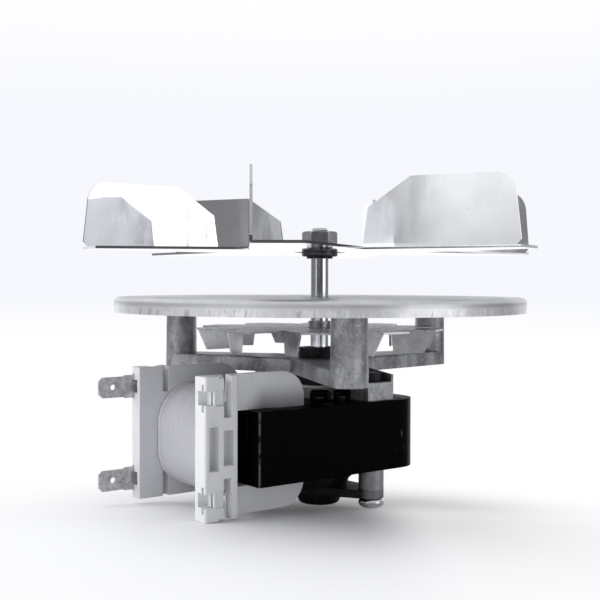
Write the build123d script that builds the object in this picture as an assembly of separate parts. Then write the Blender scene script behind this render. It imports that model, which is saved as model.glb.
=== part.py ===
from build123d import *
from math import atan2, cos, degrees, radians, sin
import os

# Shaded pole fan motor in millimetres.
# Origin: centre of the mounting disc's top face, on the shaft. +Z runs up the shaft to the impeller.
# The coil stands at -X, its two flanges face -Y (front) and +Y (rear).

# Mounting disc, pressed sheet with a turned-down rim
disc_radius = 66.2
disc_sheet = 1.5
disc_rim_height = 4.7
disc_shoulder_radius = 1.6
disc_shaft_hole_radius = 6.0
fixing_hole_radius = 2.25
fixing_circle_radius = 58.0
fixing_count = 3

# Post frame: three posts, three tapered arms, a hub and two feet, one casting
post_count = 3
post_first_degrees = 1.2
post_circle_radius = 51.2
post_top_radius = 5.1
post_foot_radius = 5.3
arm_top = -19.6
arm_thickness = 4.7
arm_hub_radius = 11.0
arm_edge_radius = 0.6
foot_floor_thickness = 5.8
foot_left = -6.0
foot_right = 4.4
foot_back = 3.2
foot_setback = 0.9
foot_wall = 1.8
rib_thickness = 0.8
rib_front_height = 2.2
rib_rise = 2.2

# Lamination stack with its bore, open to the coil side
stack_top = -32.3
stack_height = 21.6
stack_half_width = 24.5
stack_right = 23.0
stack_left = -40.7
stack_corner_radius = 9.0
limb_corner_radius = 1.2
limb_width = 6.1
window_corner_radius = 2.0
yoke_left = -18.4
flux_slot_width = 3.0
flux_bridge = 3.4
tie_hole_radius = 1.6
tie_hole_edge_x = 6.0
tie_hole_edge_y = 9.0
coil_leg_width = 10.0
rivet_radius = 1.2
rivet_head_radius = 1.9
rivet_head_height = 0.6
rivet_from_limb_end = 7.7
rivet_from_yoke = 4.9

# Rotor, shaft and the air gap
shaft_radius = 3.0
shaft_top = 22.4
shaft_tip_chamfer = 0.8
rotor_radius = 9.7
air_gap = 0.35
end_ring_height = 3.0
end_ring_width = 3.4
cage_bar_count = 12
cage_bar_radius = 0.8
cage_bar_depth = 1.5
cage_skew_degrees = 15.0
cage_bar_overrun = 0.5
cage_bar_root = 0.4
journal_clearance = 0.03
fit_clearance = 0.1
axial_clearance = 0.2

# Bearing pieces, the same set above and below
bearing_radius = 5.0
bearing_length = 5.4
bearing_chamfer = 0.4
felt_thickness = 1.6
clip_thickness = 0.6
clip_opening_radius = 3.8
bridge_hub_wall = 1.9
thrust_washer_radius = 7.2
thrust_washer_thickness = 0.8

# Upper bearing bridge: hub standing up through the post frame, two tapped eyes
bridge_hub_rise = 3.1
bridge_plate = 2.0
bridge_eye_radius = 3.4
bridge_eye_height = 2.8
bridge_waist_radius = 8.6

# Lower bearing bridge: bowl-shaped hub, two eyes under spacer sleeves
sleeve_radius = 4.0
sleeve_length = 6.9
lower_eye_height = 2.6
bowl_rim_radius = 10.4
bowl_base_radius = 6.4
bowl_floor = 1.7
bowl_edge_radius = 1.2

# Frame screws, one in front on the right, one behind on the left
screw_radius = 2.0
screw_x = 6.8
screw_from_front = 6.3
screw_head_radius = 4.05
screw_head_height = 3.1
screw_head_edge_radius = 2.2
screw_head_root = 0.5
screw_hole_clearance = 0.2

# Countersunk screws that hold the disc on the posts
disc_screw_radius = 2.0
disc_screw_head_radius = 3.6
disc_screw_length = 12.0

# Shading rings, copper loops round the pole tips
ring_wire_radius = 1.1
ring_from_bore = 3.65
ring_overhang = 3.2
ring_start_degrees = (-85.0, -117.0)
ring_span_degrees = 19.0

# Bobbin, winding and tape
bobbin_reach = 16.3
bobbin_yoke_gap = 1.6
bobbin_rise = 10.7
bobbin_drop = 8.2
bobbin_limb_gap = 0.3
bobbin_plate = 1.6
bobbin_corner_radius = 8.0
bobbin_tube_wall = 1.2
bobbin_core_gap = 3.1
block_width = 11.0
block_depth = 5.4
block_edge_radius = 0.7
pocket_depth = 3.6
end_pocket_width = 2.4
end_pocket_height = 11.7
end_pocket_inset = 2.4
long_pocket_width = 3.2
long_pocket_height = 12.4
long_pocket_inset = 1.4
short_pocket_width = 3.5
short_pocket_height = 9.9
pocket_wall = 1.5
end_notch_reach = 1.6
end_notch_depth = 0.6
wire_slot_left = 8.1
wire_slot_width = 1.9
wire_slot_depth = 2.5
wire_slot_height = 7.8
winding_side_build = 5.6
winding_face_build = 3.7
winding_corner_radius = 12.0
winding_end_gap = 0.1
tape_thickness = 0.4

# Flat terminal tabs in the rear block
tab_height = 6.3
tab_thickness = 0.8
tab_reach = 11.7
tab_root = 7.0
tab_shoulder_height = 7.0
tab_shoulder_reach = 3.2
tab_hole_radius = 0.9
tab_hole_from_tip = 4.6
tab_tip_chamfer = 1.2
tab_from_end = 6.0
tab_offset = 4.1
tab_slit_height = 7.6
mouth_depth = 3.0
mouth_half_height = 2.0
latch_seat_wall = 0.6
latch_seat_width = 2.6
latch_seat_half_height = 2.3
latch_seat_depth = 0.5

# Impeller, six blades folded up from one sheet
impeller_sheet = 0.8
impeller_top = 15.3
impeller_blade_count = 6
impeller_first_degrees = 236.6
impeller_offset = 23.7
impeller_blade_start = 25.0
impeller_blade_end = 72.1
impeller_blade_height = 20.1
impeller_inner_height = 11.4
impeller_inner_lean = 1.8
impeller_chamfer_run = 13.1
impeller_corner_radius = 6.4
impeller_outer_lean = 1.4
impeller_relief = 1.5
impeller_tip_reach = 73.4
impeller_tip_offset = 10.0
impeller_bend_radius = 0.7
hub_emboss_radius = 9.0
hub_emboss_height = 1.0
hub_emboss_slope = 1.4

# Pieces on the shaft round the impeller
nut_across_flats = 10.0
nut_height = 5.0
nut_chamfer_radius = 5.35
collar_radius = 5.85
collar_height = 2.3
collar_edge_radius = 0.5
circlip_thickness = 0.7
impeller_circlip_radius = 4.3
groove_depth = 0.4

# Cooling fan, ten blades folded down from one sheet
fan_sheet = 0.6
fan_rise = 9.7
fan_blade_count = 10
fan_first_degrees = -34.0
fan_offset = 20.0
fan_blade_start = 20.6
fan_blade_end = 34.6
fan_blade_height = 7.2
fan_blade_lean = 3.6
fan_inner_lean = 1.0
fan_tip_reach = 38.6
fan_tip_offset = 11.5
fan_collar_wall = 0.6
fan_collar_height = 1.3
fan_circlip_radius = 3.7

# Levels and places worked out from the values above
post_degrees = [post_first_degrees + 360.0 / post_count * i for i in range(post_count)]
arm_bottom = arm_top - arm_thickness
stack_bottom = stack_top - stack_height
bore_radius = rotor_radius + air_gap
limb_inner_y = stack_half_width - limb_width
leg_centre_x = stack_left + coil_leg_width / 2
screw_y = screw_from_front - stack_half_width
screw_places = [(screw_x, screw_y), (-screw_x, -screw_y)]
rivet_positions = (stack_left + rivet_from_limb_end, yoke_left + rivet_from_yoke)
ring_circle_radius = bore_radius + ring_from_bore
foot_floor_top = stack_top + foot_floor_thickness
end_ring_top = stack_top + end_ring_height
end_ring_bottom = stack_bottom - end_ring_height
upper_washer_top = end_ring_top + thrust_washer_thickness
bridge_hub_bottom = upper_washer_top + axial_clearance
bridge_hub_radius = bearing_radius + bridge_hub_wall
bridge_hub_top = arm_top + bridge_hub_rise
lower_washer_bottom = end_ring_bottom - thrust_washer_thickness
bowl_top = lower_washer_bottom - axial_clearance
lower_felt_bottom = bowl_top - clip_thickness - felt_thickness
lower_bearing_bottom = lower_felt_bottom - bearing_length
shaft_bottom = lower_bearing_bottom + axial_clearance
upper_bearing_bottom = bridge_hub_bottom + clip_thickness
upper_felt_bottom = upper_bearing_bottom + bearing_length
lower_eye_top = stack_bottom - sleeve_length
lower_eye_bottom = lower_eye_top - lower_eye_height
bowl_bottom = lower_bearing_bottom - bowl_floor
bobbin_left = stack_left - bobbin_reach
bobbin_right = yoke_left - bobbin_yoke_gap
bobbin_top = stack_top + bobbin_rise
bobbin_bottom = stack_bottom - bobbin_drop
bobbin_outer_y = limb_inner_y - bobbin_limb_gap
bobbin_inner_y = bobbin_outer_y - bobbin_plate
tube_half_width = (coil_leg_width + bobbin_core_gap) / 2 + fit_clearance + bobbin_tube_wall
tube_centre_x = leg_centre_x - bobbin_core_gap / 2
tube_half_height = stack_height / 2 + fit_clearance + bobbin_tube_wall
winding_half_width = tube_half_width + winding_side_build
winding_half_height = tube_half_height + winding_face_build
fan_top = arm_top + fan_rise
block_outer_y = bobbin_inner_y + block_depth
emboss_top = impeller_top + hub_emboss_height
emboss_underside = emboss_top - impeller_sheet
collar_bottom = emboss_underside - collar_height
circlip_bottom = collar_bottom - circlip_thickness
fan_collar_top = fan_top + fan_collar_height
shaft_hole_radius = shaft_radius + journal_clearance

level_tolerance = 0.01
CENTRE_ON_BASE = (Align.CENTER, Align.CENTER, Align.MIN)


def rod(radius, bottom, top, x=0.0, y=0.0):
    """Upright cylinder between two levels."""
    return Pos(x, y, bottom) * Cylinder(radius, top - bottom, align=CENTRE_ON_BASE)


def ring(outer, inner, bottom, top, x=0.0, y=0.0):
    """Upright tube between two levels."""
    return rod(outer, bottom, top, x, y) - rod(inner, bottom - 1, top + 1, x, y)


def cone(low_radius, high_radius, bottom, top, x=0.0, y=0.0):
    """Upright cone between two levels."""
    return Pos(x, y, bottom) * Cone(low_radius, high_radius, top - bottom, align=CENTRE_ON_BASE)


def block(x0, x1, y0, y1, z0, z1):
    """Box between two corners."""
    return Pos(x0, y0, z0) * Box(x1 - x0, y1 - y0, z1 - z0, align=(Align.MIN, Align.MIN, Align.MIN))


def prism(points, bottom, top):
    """Upright prism on a closed plan outline."""
    face = Plane.XY.offset(bottom) * make_face(Polyline(*points, close=True))
    return extrude(face, top - bottom)


def side_prism(points, y0, y1):
    """Prism along Y on an outline given as (x, z)."""
    face = make_face(Polyline(*[(x, 0, z) for x, z in points], close=True))
    return Pos(0, y1, 0) * extrude(face, y1 - y0, dir=(0, -1, 0))


def edges_at_level(shape, z):
    """Edges that lie whole at one level."""
    found = []
    for edge in shape.edges():
        box = edge.bounding_box()
        if abs(box.min.Z - z) + abs(box.max.Z - z) < level_tolerance:
            found.append(edge)
    return found


def make_mounting_disc():
    """Sheet disc with a rounded shoulder, a rim turned down, screw seats and fixing holes."""
    disc = rod(disc_radius, -disc_rim_height, 0)
    disc = fillet(edges_at_level(disc, 0), disc_shoulder_radius)
    disc -= rod(disc_radius - disc_sheet, -disc_rim_height - 1, -disc_sheet)
    disc -= rod(disc_shaft_hole_radius, -disc_rim_height, 1)
    for angle in post_degrees:
        seat = cone(disc_screw_radius, disc_screw_head_radius, -disc_sheet, 0, post_circle_radius)
        disc -= Rot(0, 0, angle) * seat
    for i in range(fixing_count):
        angle = 360.0 / fixing_count * (i + 0.5)
        disc -= Rot(0, 0, angle) * rod(fixing_hole_radius, -disc_rim_height, 1, fixing_circle_radius)
    return disc


def make_disc_screws():
    """Three countersunk screws, flush with the disc, one solid each."""
    head = cone(disc_screw_radius, disc_screw_head_radius, -disc_sheet, 0, post_circle_radius)
    shank = rod(disc_screw_radius, -disc_screw_length, -disc_sheet, post_circle_radius)
    return Compound([Rot(0, 0, angle) * (head + shank) for angle in post_degrees])


def arm_plan():
    """Tapered plan of one arm, from the hub to the round end under its post."""
    hub_circle = Circle(arm_hub_radius)
    post_circle = Pos(post_circle_radius, 0) * Circle(post_foot_radius)
    return make_hull(hub_circle.edges() + post_circle.edges())


def make_foot_front():
    """Front foot: a floor on the stack, a wall up to the arm and a thin rib up to the right arm."""
    x0 = screw_x + foot_left
    x1 = screw_x + foot_right
    y0 = -stack_half_width + foot_setback
    y1 = screw_y + foot_back
    foot = block(x0, x1, y0, y1, stack_top, foot_floor_top)
    foot += block(x0, x0 + foot_wall, y0 + foot_wall, y1, foot_floor_top, arm_top)
    rib_y = -arm_hub_radius / 2
    rib_front_top = foot_floor_top + rib_front_height
    rib_back_top = rib_front_top + rib_rise
    rib_side = [(y0, foot_floor_top), (y0, rib_front_top), (rib_y, rib_back_top), (rib_y, foot_floor_top)]
    rib_face = make_face(Polyline(*[(x1, y, z) for y, z in rib_side], close=True))
    return foot + extrude(rib_face, rib_thickness, dir=(-1, 0, 0))


def make_foot_rear():
    """Rear foot: a round pad between the stack and the arm above it."""
    x, y = screw_places[1]
    return rod(bridge_eye_radius + foot_wall, stack_top, arm_top, x, y)


def bridge_plan(eye_radius, waist_radius):
    """Plan of a bearing bridge: a round waist and two eyes at the screws."""
    waist = Circle(waist_radius)
    plan = Sketch()
    for x, y in screw_places:
        eye = Pos(x, y) * Circle(eye_radius)
        plan += make_hull(waist.edges() + eye.edges())
    return plan


def make_post_frame():
    """Cast frame that carries the disc on three posts and stands on the stack with two feet."""
    frame = Part()
    for angle in post_degrees:
        frame += Rot(0, 0, angle) * extrude(Pos(0, 0, arm_bottom) * arm_plan(), arm_thickness)
    frame = fillet(edges_at_level(frame, arm_top), arm_edge_radius)
    for angle in post_degrees:
        post = cone(post_foot_radius, post_top_radius, arm_bottom, -disc_sheet, post_circle_radius)
        frame += Rot(0, 0, angle) * post
    frame += make_foot_front() + make_foot_rear()
    frame -= rod(bridge_hub_radius + fit_clearance, stack_top, 0)
    for angle in post_degrees:
        tapped = rod(disc_screw_radius, -disc_screw_length - 1, 0, post_circle_radius)
        frame -= Rot(0, 0, angle) * tapped
    for x, y in screw_places:
        frame -= rod(screw_radius + screw_hole_clearance, stack_top - 1, foot_floor_top, x, y)
        eye_top = foot_floor_top + bridge_eye_height + fit_clearance
        frame -= rod(bridge_eye_radius + fit_clearance, foot_floor_top, eye_top, x, y)
    slot_plan = bridge_plan(bridge_eye_radius + fit_clearance, bridge_waist_radius + fit_clearance)
    slot = Pos(0, 0, foot_floor_top) * slot_plan
    frame -= extrude(slot, bridge_plate + fit_clearance)
    return frame


def make_upper_bridge():
    """Bearing bridge on the feet: a flat waist, two tapped eyes and a tall bearing hub."""
    plan = bridge_plan(bridge_eye_radius, bridge_waist_radius)
    bridge = extrude(Pos(0, 0, foot_floor_top) * plan, bridge_plate)
    for x, y in screw_places:
        bridge += rod(bridge_eye_radius, foot_floor_top, foot_floor_top + bridge_eye_height, x, y)
    bridge += rod(bridge_hub_radius, bridge_hub_bottom, bridge_hub_top)
    bridge -= rod(bearing_radius, upper_bearing_bottom, bridge_hub_top + 1)
    bridge -= rod(clip_opening_radius, bridge_hub_bottom - 1, bridge_hub_top)
    for x, y in screw_places:
        bridge -= rod(screw_radius, foot_floor_top - 1, 0, x, y)
    return bridge


def make_lower_bridge():
    """Lower bearing bridge: a closed bowl round the bearing and two eyes under the sleeves."""
    bowl = cone(bowl_base_radius, bowl_rim_radius, bowl_bottom, bowl_top)
    bowl = fillet(edges_at_level(bowl, bowl_bottom), bowl_edge_radius)
    plan = bridge_plan(sleeve_radius, bridge_waist_radius)
    arms = extrude(Pos(0, 0, lower_eye_bottom) * plan, lower_eye_height)
    bridge = bowl + arms
    bridge -= rod(bearing_radius, lower_bearing_bottom, bowl_top + 1)
    for x, y in screw_places:
        bridge -= rod(screw_radius + screw_hole_clearance, lower_eye_bottom - 1, lower_eye_top + 1, x, y)
    return bridge


def make_bearing(bottom):
    """Sintered bush with a running bore."""
    bush = ring(bearing_radius, shaft_hole_radius, bottom, bottom + bearing_length)
    return chamfer(bush.edges().filter_by(GeomType.CIRCLE).sort_by(SortBy.RADIUS)[-2:], bearing_chamfer)


def make_felt(bottom):
    """Oil felt on top of a bush."""
    return ring(bearing_radius, shaft_radius + 2 * axial_clearance, bottom, bottom + felt_thickness)


def make_clip(bottom):
    """Retaining washer over the felt."""
    return ring(bearing_radius, clip_opening_radius, bottom, bottom + clip_thickness)


def make_thrust_washer(bottom):
    """Thrust washer that turns with the shaft."""
    return ring(thrust_washer_radius, shaft_hole_radius, bottom, bottom + thrust_washer_thickness)


def stack_plan():
    """Plan of one lamination: a C with limbs at the front and rear and a bored yoke."""
    middle_x = (stack_left + stack_right) / 2
    outline = Pos(middle_x, 0) * Rectangle(stack_right - stack_left, 2 * stack_half_width)
    corners = outline.vertices().sort_by(Axis.X)
    outline = fillet(corners[-2:], stack_corner_radius)
    outline = fillet(outline.vertices().sort_by(Axis.X)[:2], limb_corner_radius)
    window_length = yoke_left - stack_left
    window = Pos(yoke_left - window_length / 2, 0) * Rectangle(window_length, 2 * limb_inner_y)
    window = fillet(window.vertices().sort_by(Axis.X)[-2:], window_corner_radius)
    plan = outline - window - Circle(bore_radius)
    slot_end = stack_right - flux_bridge
    plan -= Pos((slot_end + yoke_left) / 2, 0) * Rectangle(slot_end - yoke_left, flux_slot_width)
    for side in (-1, 1):
        tie_hole_y = side * (stack_half_width - tie_hole_edge_y)
        plan -= Pos(stack_right - tie_hole_edge_x, tie_hole_y) * Circle(tie_hole_radius)
        for x in rivet_positions:
            plan -= Pos(x, side * (stack_half_width - limb_width / 2)) * Circle(rivet_radius)
    for x, y in screw_places:
        plan -= Pos(x, y) * Circle(screw_radius + screw_hole_clearance)
    for x, y in ring_leg_places():
        plan -= Pos(x, y) * Circle(ring_wire_radius)
    return plan


def ring_leg_places():
    """Centres of every shading ring leg."""
    places = []
    for turn in (0.0, 180.0):
        for start in ring_start_degrees:
            for angle in (start, start - ring_span_degrees):
                a = radians(angle + turn)
                places.append((ring_circle_radius * cos(a), ring_circle_radius * sin(a)))
    return places


def make_stator_core():
    """Riveted lamination stack."""
    return extrude(Pos(0, 0, stack_bottom) * stack_plan(), stack_height)


def make_coil_core():
    """Straight lamination pack through the bobbin, pressed between the limb ends."""
    x1 = stack_left + coil_leg_width
    return block(stack_left, x1, -limb_inner_y, limb_inner_y, stack_bottom, stack_top)


def make_stack_rivets():
    """Rivets through the limbs, one solid each."""
    rivets = []
    for side in (-1, 1):
        for x in rivet_positions:
            y = side * (stack_half_width - limb_width / 2)
            rivet = rod(rivet_radius, stack_bottom, stack_top, x, y)
            rivet += rod(rivet_head_radius, stack_top, stack_top + rivet_head_height, x, y)
            rivet += rod(rivet_head_radius, stack_bottom - rivet_head_height, stack_bottom, x, y)
            rivets.append(rivet)
    return Compound(rivets)


def make_shading_rings():
    """Copper loops, each with two legs through the stack and two bars over its faces."""
    loops = []
    places = ring_leg_places()
    for i in range(0, len(places), 2):
        (x0, y0), (x1, y1) = places[i], places[i + 1]
        top = stack_top + ring_overhang - ring_wire_radius
        bottom = stack_bottom - ring_overhang + ring_wire_radius
        loop = Part()
        for x, y in places[i:i + 2]:
            loop += rod(ring_wire_radius, bottom, top, x, y)
            loop += Pos(x, y, top) * Sphere(ring_wire_radius)
            loop += Pos(x, y, bottom) * Sphere(ring_wire_radius)
        length = ((x1 - x0) ** 2 + (y1 - y0) ** 2) ** 0.5
        heading = degrees(atan2(y1 - y0, x1 - x0))
        for z in (top, bottom):
            bar = Rot(0, 90, 0) * Cylinder(ring_wire_radius, length)
            loop += Pos((x0 + x1) / 2, (y0 + y1) / 2, z) * Rot(0, 0, heading) * bar
        loops.append(loop)
    return Compound(loops)


def make_rotor_shaft():
    """Ground shaft with clip grooves, a threaded end's chamfer and a rounded foot."""
    shaft = rod(shaft_radius, shaft_bottom, shaft_top)
    shaft = chamfer(edges_at_level(shaft, shaft_top), shaft_tip_chamfer)
    shaft = fillet(edges_at_level(shaft, shaft_bottom), shaft_tip_chamfer)
    groove_radius = shaft_radius - groove_depth
    for bottom in (circlip_bottom, fan_collar_top):
        shaft -= ring(shaft_radius + 1, groove_radius, bottom, bottom + circlip_thickness)
    return shaft


def cage_bars(extra):
    """Skewed round bars that join the two end rings."""
    circle = rotor_radius - cage_bar_depth
    bars = []
    for i in range(cage_bar_count):
        a0 = radians(360.0 / cage_bar_count * i)
        a1 = a0 + radians(cage_skew_degrees)
        low = Vector(circle * cos(a0), circle * sin(a0), stack_bottom - extra)
        high = Vector(circle * cos(a1), circle * sin(a1), stack_top + extra)
        bars.append(Plane(origin=low, z_dir=high - low) * Cylinder(
            cage_bar_radius, (high - low).length, align=CENTRE_ON_BASE))
    return bars


def make_rotor_core():
    """Rotor laminations with a shaft bore and the skewed bar slots."""
    core = ring(rotor_radius, shaft_radius, stack_bottom, stack_top)
    return core - cage_bars(cage_bar_overrun)


def make_rotor_cage():
    """Cast cage: two end rings and the skewed bars between them."""
    inner = rotor_radius - end_ring_width
    rings = ring(rotor_radius, inner, stack_top, end_ring_top)
    rings += ring(rotor_radius, inner, end_ring_bottom, stack_bottom)
    bars = cage_bars(cage_bar_overrun)
    inside = rod(rotor_radius, stack_bottom - cage_bar_root, stack_top + cage_bar_root)
    return rings + [bar & inside for bar in bars]


def bobbin_opening(extra):
    """Rectangular way through the bobbin for the coil core, wider on the outer side, plus a margin."""
    half = coil_leg_width / 2 + extra
    y = block_outer_y + 1
    x0 = leg_centre_x - half - bobbin_core_gap
    x1 = leg_centre_x + half
    return x0, x1, -y, y, stack_bottom - extra, stack_top + extra


def block_pockets(inner_y, outer_y):
    """Moulding pockets in the outer face of a terminal block."""
    block_right = bobbin_left + block_width
    end_x1 = block_right - end_pocket_inset
    end_x0 = end_x1 - end_pocket_width
    long_x0 = bobbin_left + long_pocket_inset
    long_x1 = long_x0 + long_pocket_width
    short_x0 = long_x1 + pocket_wall
    short_x1 = short_x0 + short_pocket_width
    middle = (bobbin_top + bobbin_bottom) / 2
    spans = [
        (end_x0, end_x1, bobbin_top - end_pocket_height, bobbin_top + 1),
        (end_x0, end_x1, bobbin_bottom - 1, bobbin_bottom + end_pocket_height),
        (long_x0, long_x1, middle - long_pocket_height / 2, middle + long_pocket_height / 2),
        (short_x0, short_x1, middle - short_pocket_height / 2, middle + short_pocket_height / 2),
        (end_x0 - end_notch_reach, end_x1, bobbin_top - end_notch_depth, bobbin_top + 1),
        (end_x0 - end_notch_reach, end_x1, bobbin_bottom - 1, bobbin_bottom + end_notch_depth),
    ]
    return [block(x0, x1, inner_y, outer_y, z0, z1) for x0, x1, z0, z1 in spans]


def wire_slots(side):
    """Slots in the flange's inner face that lead the winding's ends out to the pockets."""
    x0 = bobbin_left + wire_slot_left
    x1 = x0 + wire_slot_width
    y0, y1 = sorted((side * (bobbin_inner_y - 1), side * (bobbin_inner_y + wire_slot_depth)))
    upper = block(x0, x1, y0, y1, bobbin_top - wire_slot_height, bobbin_top + 1)
    lower = block(x0, x1, y0, y1, bobbin_bottom - 1, bobbin_bottom + wire_slot_height)
    return upper + lower


def tab_levels():
    """Centre heights of the two terminal places."""
    return (bobbin_top - tab_from_end, bobbin_bottom + tab_from_end)


def tab_seat(side, z):
    """Everything cut from a terminal block for one tab: slit, open mouth and the latch's seat."""
    slit_y = side * (bobbin_inner_y + tab_offset)
    slit_half = tab_thickness / 2 + fit_clearance
    half = tab_slit_height / 2
    root_end = bobbin_left + tab_root
    seat = block(bobbin_left - 1, root_end, slit_y - slit_half, slit_y + slit_half, z - half, z + half)
    mouth_end = bobbin_left + mouth_depth
    mouth_y = sorted((side * bobbin_outer_y, side * (block_outer_y + 1)))
    seat += block(bobbin_left - 1, mouth_end, *mouth_y, z - mouth_half_height, z + mouth_half_height)
    latch_y = sorted((side * (block_outer_y - latch_seat_depth), side * (block_outer_y + 1)))
    latch_x = mouth_end + latch_seat_wall
    half = latch_seat_half_height
    return seat + block(latch_x, latch_x + latch_seat_width, *latch_y, z - half, z + half)


def make_terminal_end(side):
    """Flange plate with its terminal block, side -1 in front and 1 behind."""
    y0, y1 = sorted((side * bobbin_inner_y, side * bobbin_outer_y))
    plate = block(bobbin_left, bobbin_right, y0, y1, bobbin_bottom, bobbin_top)
    upright = [e for e in plate.edges().filter_by(Axis.Y) if e.center().X > leg_centre_x]
    plate = fillet(upright, bobbin_corner_radius)
    y0, y1 = sorted((side * bobbin_inner_y, side * block_outer_y))
    body = block(bobbin_left, bobbin_left + block_width, y0, y1, bobbin_bottom, bobbin_top)
    outer = body.edges().filter_by(Axis.Z).group_by(Axis.Y)[-1 if side > 0 else 0]
    body = fillet(outer, block_edge_radius)
    floor_y = side * (block_outer_y - pocket_depth)
    pocket_y = sorted((floor_y, side * (block_outer_y + 1)))
    for pocket in block_pockets(*pocket_y):
        body -= pocket
    for z in tab_levels():
        body -= tab_seat(side, z)
    return plate + body - wire_slots(side)


def make_coil_bobbin():
    """Moulded bobbin: square tube, two flanges and two terminal blocks."""
    x0, x1, y0, y1, z0, z1 = bobbin_opening(fit_clearance)
    wall = bobbin_tube_wall
    tube = block(x0 - wall, x1 + wall, -bobbin_inner_y, bobbin_inner_y, z0 - wall, z1 + wall)
    bobbin = tube + make_terminal_end(-1) + make_terminal_end(1)
    return bobbin - block(x0, x1, y0, y1, z0, z1)


def rounded_coil(half_width, half_height, corner):
    """Rounded bar along the bobbin, with flat ends just clear of the flanges."""
    y = bobbin_inner_y - winding_end_gap
    middle_z = (stack_top + stack_bottom) / 2
    coil = block(tube_centre_x - half_width, tube_centre_x + half_width, -y, y, middle_z - half_height,
                 middle_z + half_height)
    return fillet(coil.edges().filter_by(Axis.Y), corner)


def make_coil_winding():
    """Enamelled wire wound on the bobbin's tube."""
    coil = rounded_coil(winding_half_width, winding_half_height, winding_corner_radius)
    return coil - block(*bobbin_opening(fit_clearance + bobbin_tube_wall))


def make_coil_tape():
    """Wrap of tape over the winding."""
    outer = rounded_coil(winding_half_width + tape_thickness, winding_half_height + tape_thickness,
                         winding_corner_radius + tape_thickness)
    return outer - rounded_coil(winding_half_width, winding_half_height, winding_corner_radius)


def make_terminal_tab(level):
    """Flat tab with a shoulder, a bevelled tip and a latch hole, pushed into the rear block."""
    tip = bobbin_left - tab_reach
    root = bobbin_left + tab_root
    half = tab_height / 2
    points = [
        (root, level - half), (bobbin_left, level - half),
        (bobbin_left, level - tab_shoulder_height / 2),
        (bobbin_left - tab_shoulder_reach, level - tab_shoulder_height / 2),
        (bobbin_left - tab_shoulder_reach, level - half),
        (tip + tab_tip_chamfer, level - half), (tip, level - half + tab_tip_chamfer),
        (tip, level + half - tab_tip_chamfer), (tip + tab_tip_chamfer, level + half),
        (bobbin_left - tab_shoulder_reach, level + half),
        (bobbin_left - tab_shoulder_reach, level + tab_shoulder_height / 2),
        (bobbin_left, level + tab_shoulder_height / 2),
        (bobbin_left, level + half), (root, level + half),
    ]
    y = bobbin_inner_y + tab_offset
    tab = side_prism(points, y - tab_thickness / 2, y + tab_thickness / 2)
    hole = Pos(tip + tab_hole_from_tip, y, level) * Rot(90, 0, 0) * Cylinder(tab_hole_radius, 2)
    return tab - hole


def blade_frame(degrees_round, offset, level):
    """Plane of a blade's face: x runs outward along the fold, y runs up, z points away from the shaft."""
    a = radians(degrees_round)
    out = Vector(cos(a), sin(a), 0)
    away = Vector(sin(a), -cos(a), 0)
    return Plane(origin=away * offset + Vector(0, 0, level), x_dir=out, z_dir=away)


def star_points(count, first, offset, start, end, tip_reach, tip_offset):
    """Plan of a fan sheet: for each blade its fold, a tip and the cut back to the next fold."""
    points = []
    for i in range(count):
        a = radians(first + 360.0 / count * i)
        for s, v in ((start, offset), (end, offset), (tip_reach, tip_offset)):
            points.append((s * cos(a) + v * sin(a), s * sin(a) - v * cos(a)))
    return points


def impeller_blade_outline():
    """Blade outline in its own plane: leaning ends, a chamfered inner and a round outer top corner."""
    base = -impeller_sheet
    top = impeller_blade_height
    inner = impeller_blade_start
    outer = impeller_blade_end
    chamfer_x = inner + impeller_inner_lean + impeller_chamfer_run
    corner_x = outer - impeller_outer_lean
    edges = Polyline(
        (corner_x - impeller_corner_radius, top), (chamfer_x, top),
        (inner + impeller_inner_lean, impeller_inner_height), (inner, base),
        (outer - impeller_relief, base), (outer - impeller_relief, 0), (outer, impeller_relief),
        (corner_x, top - impeller_corner_radius))
    corner = RadiusArc((corner_x, top - impeller_corner_radius), (corner_x - impeller_corner_radius, top),
                       -impeller_corner_radius)
    return make_face([*edges.edges(), *corner.edges()])


def make_impeller():
    """Star-shaped sheet with an embossed hub and six blades folded up along its arms."""
    underside = impeller_top - impeller_sheet
    points = star_points(impeller_blade_count, impeller_first_degrees, impeller_offset, impeller_blade_start,
                         impeller_blade_end, impeller_tip_reach, impeller_tip_offset)
    wheel = prism(points, underside, impeller_top)
    wheel += cone(hub_emboss_radius, hub_emboss_radius - hub_emboss_slope, impeller_top, emboss_top)
    recess_radius = hub_emboss_radius - impeller_sheet / 2
    wheel -= cone(recess_radius, recess_radius - hub_emboss_slope, underside, emboss_underside)
    wheel -= rod(shaft_hole_radius, underside - 1, emboss_top + 1)
    for i in range(impeller_blade_count):
        angle = impeller_first_degrees + 360.0 / impeller_blade_count * i
        face = blade_frame(angle, impeller_offset, impeller_top) * impeller_blade_outline()
        away = Vector(sin(radians(angle)), -cos(radians(angle)), 0)
        wheel += extrude(face, impeller_sheet, dir=-away)
    folds = [e for e in edges_at_level(wheel, underside) if is_fold(e, impeller_offset)]
    return fillet(folds, impeller_bend_radius)


def is_fold(edge, offset):
    """True for a straight edge whose line passes the shaft at the fold's distance."""
    if edge.geom_type != GeomType.LINE:
        return False
    start, end = edge.position_at(0), edge.position_at(1)
    run = end - start
    distance = abs(start.X * run.Y - start.Y * run.X) / run.length
    return abs(distance - offset) < level_tolerance and run.length > offset / 2


def fan_blade_outline():
    """Blade outline of the cooling fan: a low trapezoid hanging from its fold."""
    return make_face(Polyline(
        (fan_blade_start, 0), (fan_blade_end, 0), (fan_blade_end - fan_blade_lean, -fan_blade_height),
        (fan_blade_start + fan_inner_lean, -fan_blade_height), close=True))


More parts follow.
